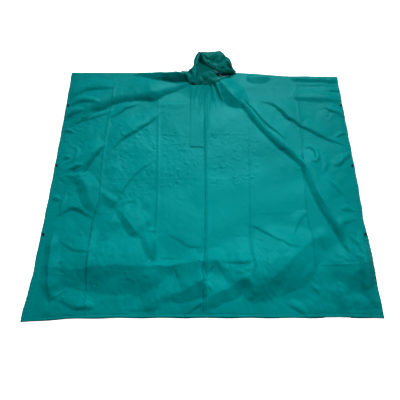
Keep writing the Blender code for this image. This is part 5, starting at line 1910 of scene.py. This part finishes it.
def build_lights():
    """A pool of light from low beyond the hood, an even weak light overhead and a pale surround."""
    stage = bpy.context.scene.poncho_stage
    key = bpy.data.lights.new("key", "SPOT")
    key.shadow_soft_size = KEY_RADIUS
    key.spot_size = KEY_CONE
    key.spot_blend = 1.0
    key.energy = stage.key_power
    aimed("key", key, (*KEY_PLACE, stage.key_height), KEY_AIM)
    overhead = bpy.data.lights.new("overhead", "AREA")
    overhead.shape = "RECTANGLE"
    overhead.size = OVERHEAD_SIZE
    overhead.size_y = OVERHEAD_SIZE
    overhead.energy = stage.overhead_power
    aimed("overhead", overhead, OVERHEAD_PLACE, ORIGIN)
    world = bpy.data.worlds.new("surround")
    world.use_nodes = True
    background = world.node_tree.nodes["Background"]
    ray = world.node_tree.nodes.new("ShaderNodeLightPath")
    pale = shade(WHITE, stage.surround)
    seen = mixed_colour(world.node_tree, ray.outputs["Is Camera Ray"], pale, WHITE)
    world.node_tree.links.new(seen, background.inputs["Color"])
    background.inputs["Strength"].default_value = 1.0
    bpy.context.scene.world = world


def build_camera():
    data = bpy.data.cameras.new("camera")
    data.lens = CAMERA_LENS
    data.sensor_width = CAMERA_SENSOR
    bpy.context.scene.camera = aimed("camera", data, CAMERA_PLACE, CAMERA_AIM)
    bpy.context.scene.view_settings.view_transform = "Standard"


# ---------------- settings, operators and panel


class PonchoCloth(bpy.types.PropertyGroup):
    """The cloth's colours and finish."""

    colour: bpy.props.FloatVectorProperty(
        name="Cloth colour", description="Colour of the coated cloth",
        subtype="COLOR", default=(0.0, 0.235, 0.238), min=0.0, max=1.0,
    )
    # Painted shade: the casing cloth is given a darker colour than the body's.
    casing_colour: bpy.props.FloatVectorProperty(
        name="Casing colour", description="Colour of the doubled cloth of the cord casings",
        subtype="COLOR", default=(0.001, 0.125, 0.110), min=0.0, max=1.0,
    )
    # Painted shade: the hood's cloth is given a darker colour than the body's.
    hood_colour: bpy.props.FloatVectorProperty(
        name="Hood colour", description="Colour of the hood's cloth over its dark hollow",
        subtype="COLOR", default=(0.001, 0.162, 0.143), min=0.0, max=1.0,
    )
    # Painted light: the glow given to the hood's lining.
    lining_painted_glow: bpy.props.FloatVectorProperty(
        name="Lining glow", description="Light that comes through the cloth into the hood",
        subtype="COLOR", default=(0.001, 0.084, 0.078), min=0.0, max=1.0,
    )
    thread_colour: bpy.props.FloatVectorProperty(
        name="Thread colour", description="Colour of the sewing thread",
        subtype="COLOR", default=(0.004, 0.150, 0.155), min=0.0, max=1.0,
    )
    roughness: bpy.props.FloatProperty(
        name="Roughness", description="How broad the coating's sheen is",
        default=0.42, min=0.05, max=1.0, subtype="FACTOR",
    )
    sheen: bpy.props.FloatProperty(
        name="Sheen", description="How strong the coating's sheen is",
        default=0.08, min=0.0, max=1.0, subtype="FACTOR",
    )
    sheen_colour: bpy.props.FloatVectorProperty(
        name="Sheen colour", description="Colour of the coating's sheen",
        subtype="COLOR", default=(0.0, 0.80, 0.83), min=0.0, max=1.0,
    )
    thread: bpy.props.FloatProperty(
        name="Thread spacing", description="Distance from one thread of the weave to the next",
        default=0.0009, min=0.0002, max=0.01, unit="LENGTH",
    )
    crumple: bpy.props.FloatProperty(
        name="Crumple", description="Strength of the finest crumples",
        default=0.10, min=0.0, max=1.0, subtype="FACTOR",
    )
    crumple_size: bpy.props.FloatProperty(
        name="Crumple size", description="Width of one facet of the finest crumples",
        default=0.028, min=0.005, max=0.2, unit="LENGTH",
    )


class PonchoTrims(bpy.types.PropertyGroup):
    """The colours of the snaps, the cord and its lock."""

    snap_colour: bpy.props.FloatVectorProperty(
        name="Snap colour", description="Colour of the snap caps",
        subtype="COLOR", default=(0.002, 0.011, 0.012), min=0.0, max=1.0,
    )
    cord_colour: bpy.props.FloatVectorProperty(
        name="Cord colour", description="Colour of the drawcord",
        subtype="COLOR", default=(0.16, 0.40, 0.50), min=0.0, max=1.0,
    )
    lock_colour: bpy.props.FloatVectorProperty(
        name="Lock colour", description="Colour of the cord lock",
        subtype="COLOR", default=(0.006, 0.018, 0.045), min=0.0, max=1.0,
    )


class PonchoStage(bpy.types.PropertyGroup):
    """The floor and the lights."""

    key_power: bpy.props.FloatProperty(
        name="Key light", description="Power of the pool of light beyond the hood",
        default=5380.0, min=0.0, max=9000.0, unit="POWER",
    )
    key_height: bpy.props.FloatProperty(
        name="Key height", description="Height of that light above the floor",
        default=5.7, min=0.2, max=9.0, unit="LENGTH",
    )
    overhead_power: bpy.props.FloatProperty(
        name="Overhead light", description="Power of the even light above",
        default=4.0, min=0.0, max=1000.0, unit="POWER",
    )
    surround: bpy.props.FloatProperty(
        name="Surround", description="Brightness of the pale surround", default=0.05, min=0.0, max=5.0,
    )
    floor_glow: bpy.props.FloatProperty(
        name="Floor glow", description="How far the floor lights itself, to read as white",
        default=1.0, min=0.0, max=2.0,
    )


class PONCHO_OT_back(bpy.types.Operator):
    """Lay the back panel on the floor"""

    bl_idname = "poncho.back"
    bl_label = "Back"

    def execute(self, context):
        build_back()
        return {"FINISHED"}


class PONCHO_OT_front(bpy.types.Operator):
    """Lay the draped front panel over the back"""

    bl_idname = "poncho.front"
    bl_label = "Front"

    def execute(self, context):
        build_front()
        return {"FINISHED"}


class PONCHO_OT_flap(bpy.types.Operator):
    """Sew the flap over the neck opening"""

    bl_idname = "poncho.flap"
    bl_label = "Neck flap"

    def execute(self, context):
        build_flap()
        return {"FINISHED"}


class PONCHO_OT_hood(bpy.types.Operator):
    """Build the two halves of the hood"""

    bl_idname = "poncho.hood"
    bl_label = "Hood"

    def execute(self, context):
        right = build_hood_panel("hood_right_cloth", "hood_right", HOOD_RIGHT, 1.0)
        left = build_hood_panel("hood_left_cloth", "hood_left", HOOD_LEFT, -1.0)
        return {"FINISHED"}


class PONCHO_OT_casings(bpy.types.Operator):
    """Sew the two cord casings along the face edges of the hood"""

    bl_idname = "poncho.casings"
    bl_label = "Cord casings"

    def execute(self, context):
        # The left casing takes the body's lighter cloth as a painted highlight, the right one the darker
        # casing cloth as painted shade.
        for side, rows, outer, ends, material in (
            ("right", HOOD_RIGHT, 1.0, CASING_ENDS_RIGHT, shaded_casing_material()),
            ("left", HOOD_LEFT, -1.0, CASING_ENDS_LEFT, cloth_material()),
        ):
            build_casing(f"casing_{side}_channel", f"hood_casing_{side}", rows, outer, ends, material)
        return {"FINISHED"}


class PONCHO_OT_chin(bpy.types.Operator):
    """Build the chin piece that stands from the neck seam"""

    bl_idname = "poncho.chin"
    bl_label = "Chin piece"

    def execute(self, context):
        build_chin()
        return {"FINISHED"}


class PONCHO_OT_sewing(bpy.types.Operator):
    """Sew the stitch lines of the hems, flap, casings and neck"""

    bl_idname = "poncho.sewing"
    bl_label = "Sewing"

    def execute(self, context):
        build_sewing()
        return {"FINISHED"}


class PONCHO_OT_snaps(bpy.types.Operator):
    """Set the three snaps of each side into the front"""

    bl_idname = "poncho.snaps"
    bl_label = "Snaps"

    def execute(self, context):
        front = bpy.data.objects.get("front_cloth")
        if front is None:
            raise RuntimeError("lay the front before its snaps")
        context.view_layer.update()
        front_face = BVHTree.FromObject(front, context.evaluated_depsgraph_get())
        for row, down in SNAP_ROWS:
            places = {
                "left": edge(LEFT_EDGE, down) + SNAP_INSET,
                "right": edge(RIGHT_EDGE, down) - SNAP_INSET,
            }
            for side, across in places.items():
                build_snap(f"snap_cap_{side}_{row}", f"snap_{side}_{row}", across, down, front_face)
        return {"FINISHED"}


class PONCHO_OT_cord(bpy.types.Operator):
    """Lay the drawcord's free end, with its lock and knot"""

    bl_idname = "poncho.cord"
    bl_label = "Drawcord"

    def execute(self, context):
        build_cord()
        return {"FINISHED"}


class PONCHO_OT_stage(bpy.types.Operator):
    """Build the floor, the lights and the camera"""

    bl_idname = "poncho.stage"
    bl_label = "Stage"

    def execute(self, context):
        build_camera()
        build_floor()
        build_lights()
        return {"FINISHED"}


STEPS = ("stage", "cord", "back", "front", "flap", "hood", "casings", "chin", "sewing", "snaps")


class PONCHO_PT_steps(bpy.types.Panel):
    """Lists the poncho's settings and the steps that build it"""

    bl_label = "Rain poncho"
    bl_space_type = "VIEW_3D"
    bl_region_type = "UI"
    bl_category = "Poncho"

    def draw(self, context):
        scene = context.scene
        for settings in (scene.poncho_cloth, scene.poncho_trims, scene.poncho_stage):
            box = self.layout.box()
            for name in settings.__annotations__:
                box.prop(settings, name)
        for step in STEPS:
            self.layout.operator(f"poncho.{step}")


CLASSES = (
    PonchoCloth, PonchoTrims, PonchoStage, PONCHO_OT_back, PONCHO_OT_front, PONCHO_OT_flap, PONCHO_OT_hood,
    PONCHO_OT_casings, PONCHO_OT_chin, PONCHO_OT_sewing, PONCHO_OT_snaps, PONCHO_OT_cord, PONCHO_OT_stage,
    PONCHO_PT_steps,
)


def register():
    for cls in CLASSES:
        bpy.utils.register_class(cls)
    bpy.types.Scene.poncho_cloth = bpy.props.PointerProperty(type=PonchoCloth)
    bpy.types.Scene.poncho_trims = bpy.props.PointerProperty(type=PonchoTrims)
    bpy.types.Scene.poncho_stage = bpy.props.PointerProperty(type=PonchoStage)


def unregister():
    del bpy.types.Scene.poncho_stage
    del bpy.types.Scene.poncho_trims
    del bpy.types.Scene.poncho_cloth
    for cls in reversed(CLASSES):
        bpy.utils.unregister_class(cls)


def main():
    register()
    for step in STEPS:
        getattr(bpy.ops.poncho, step)()


if __name__ == "__main__":
    main()
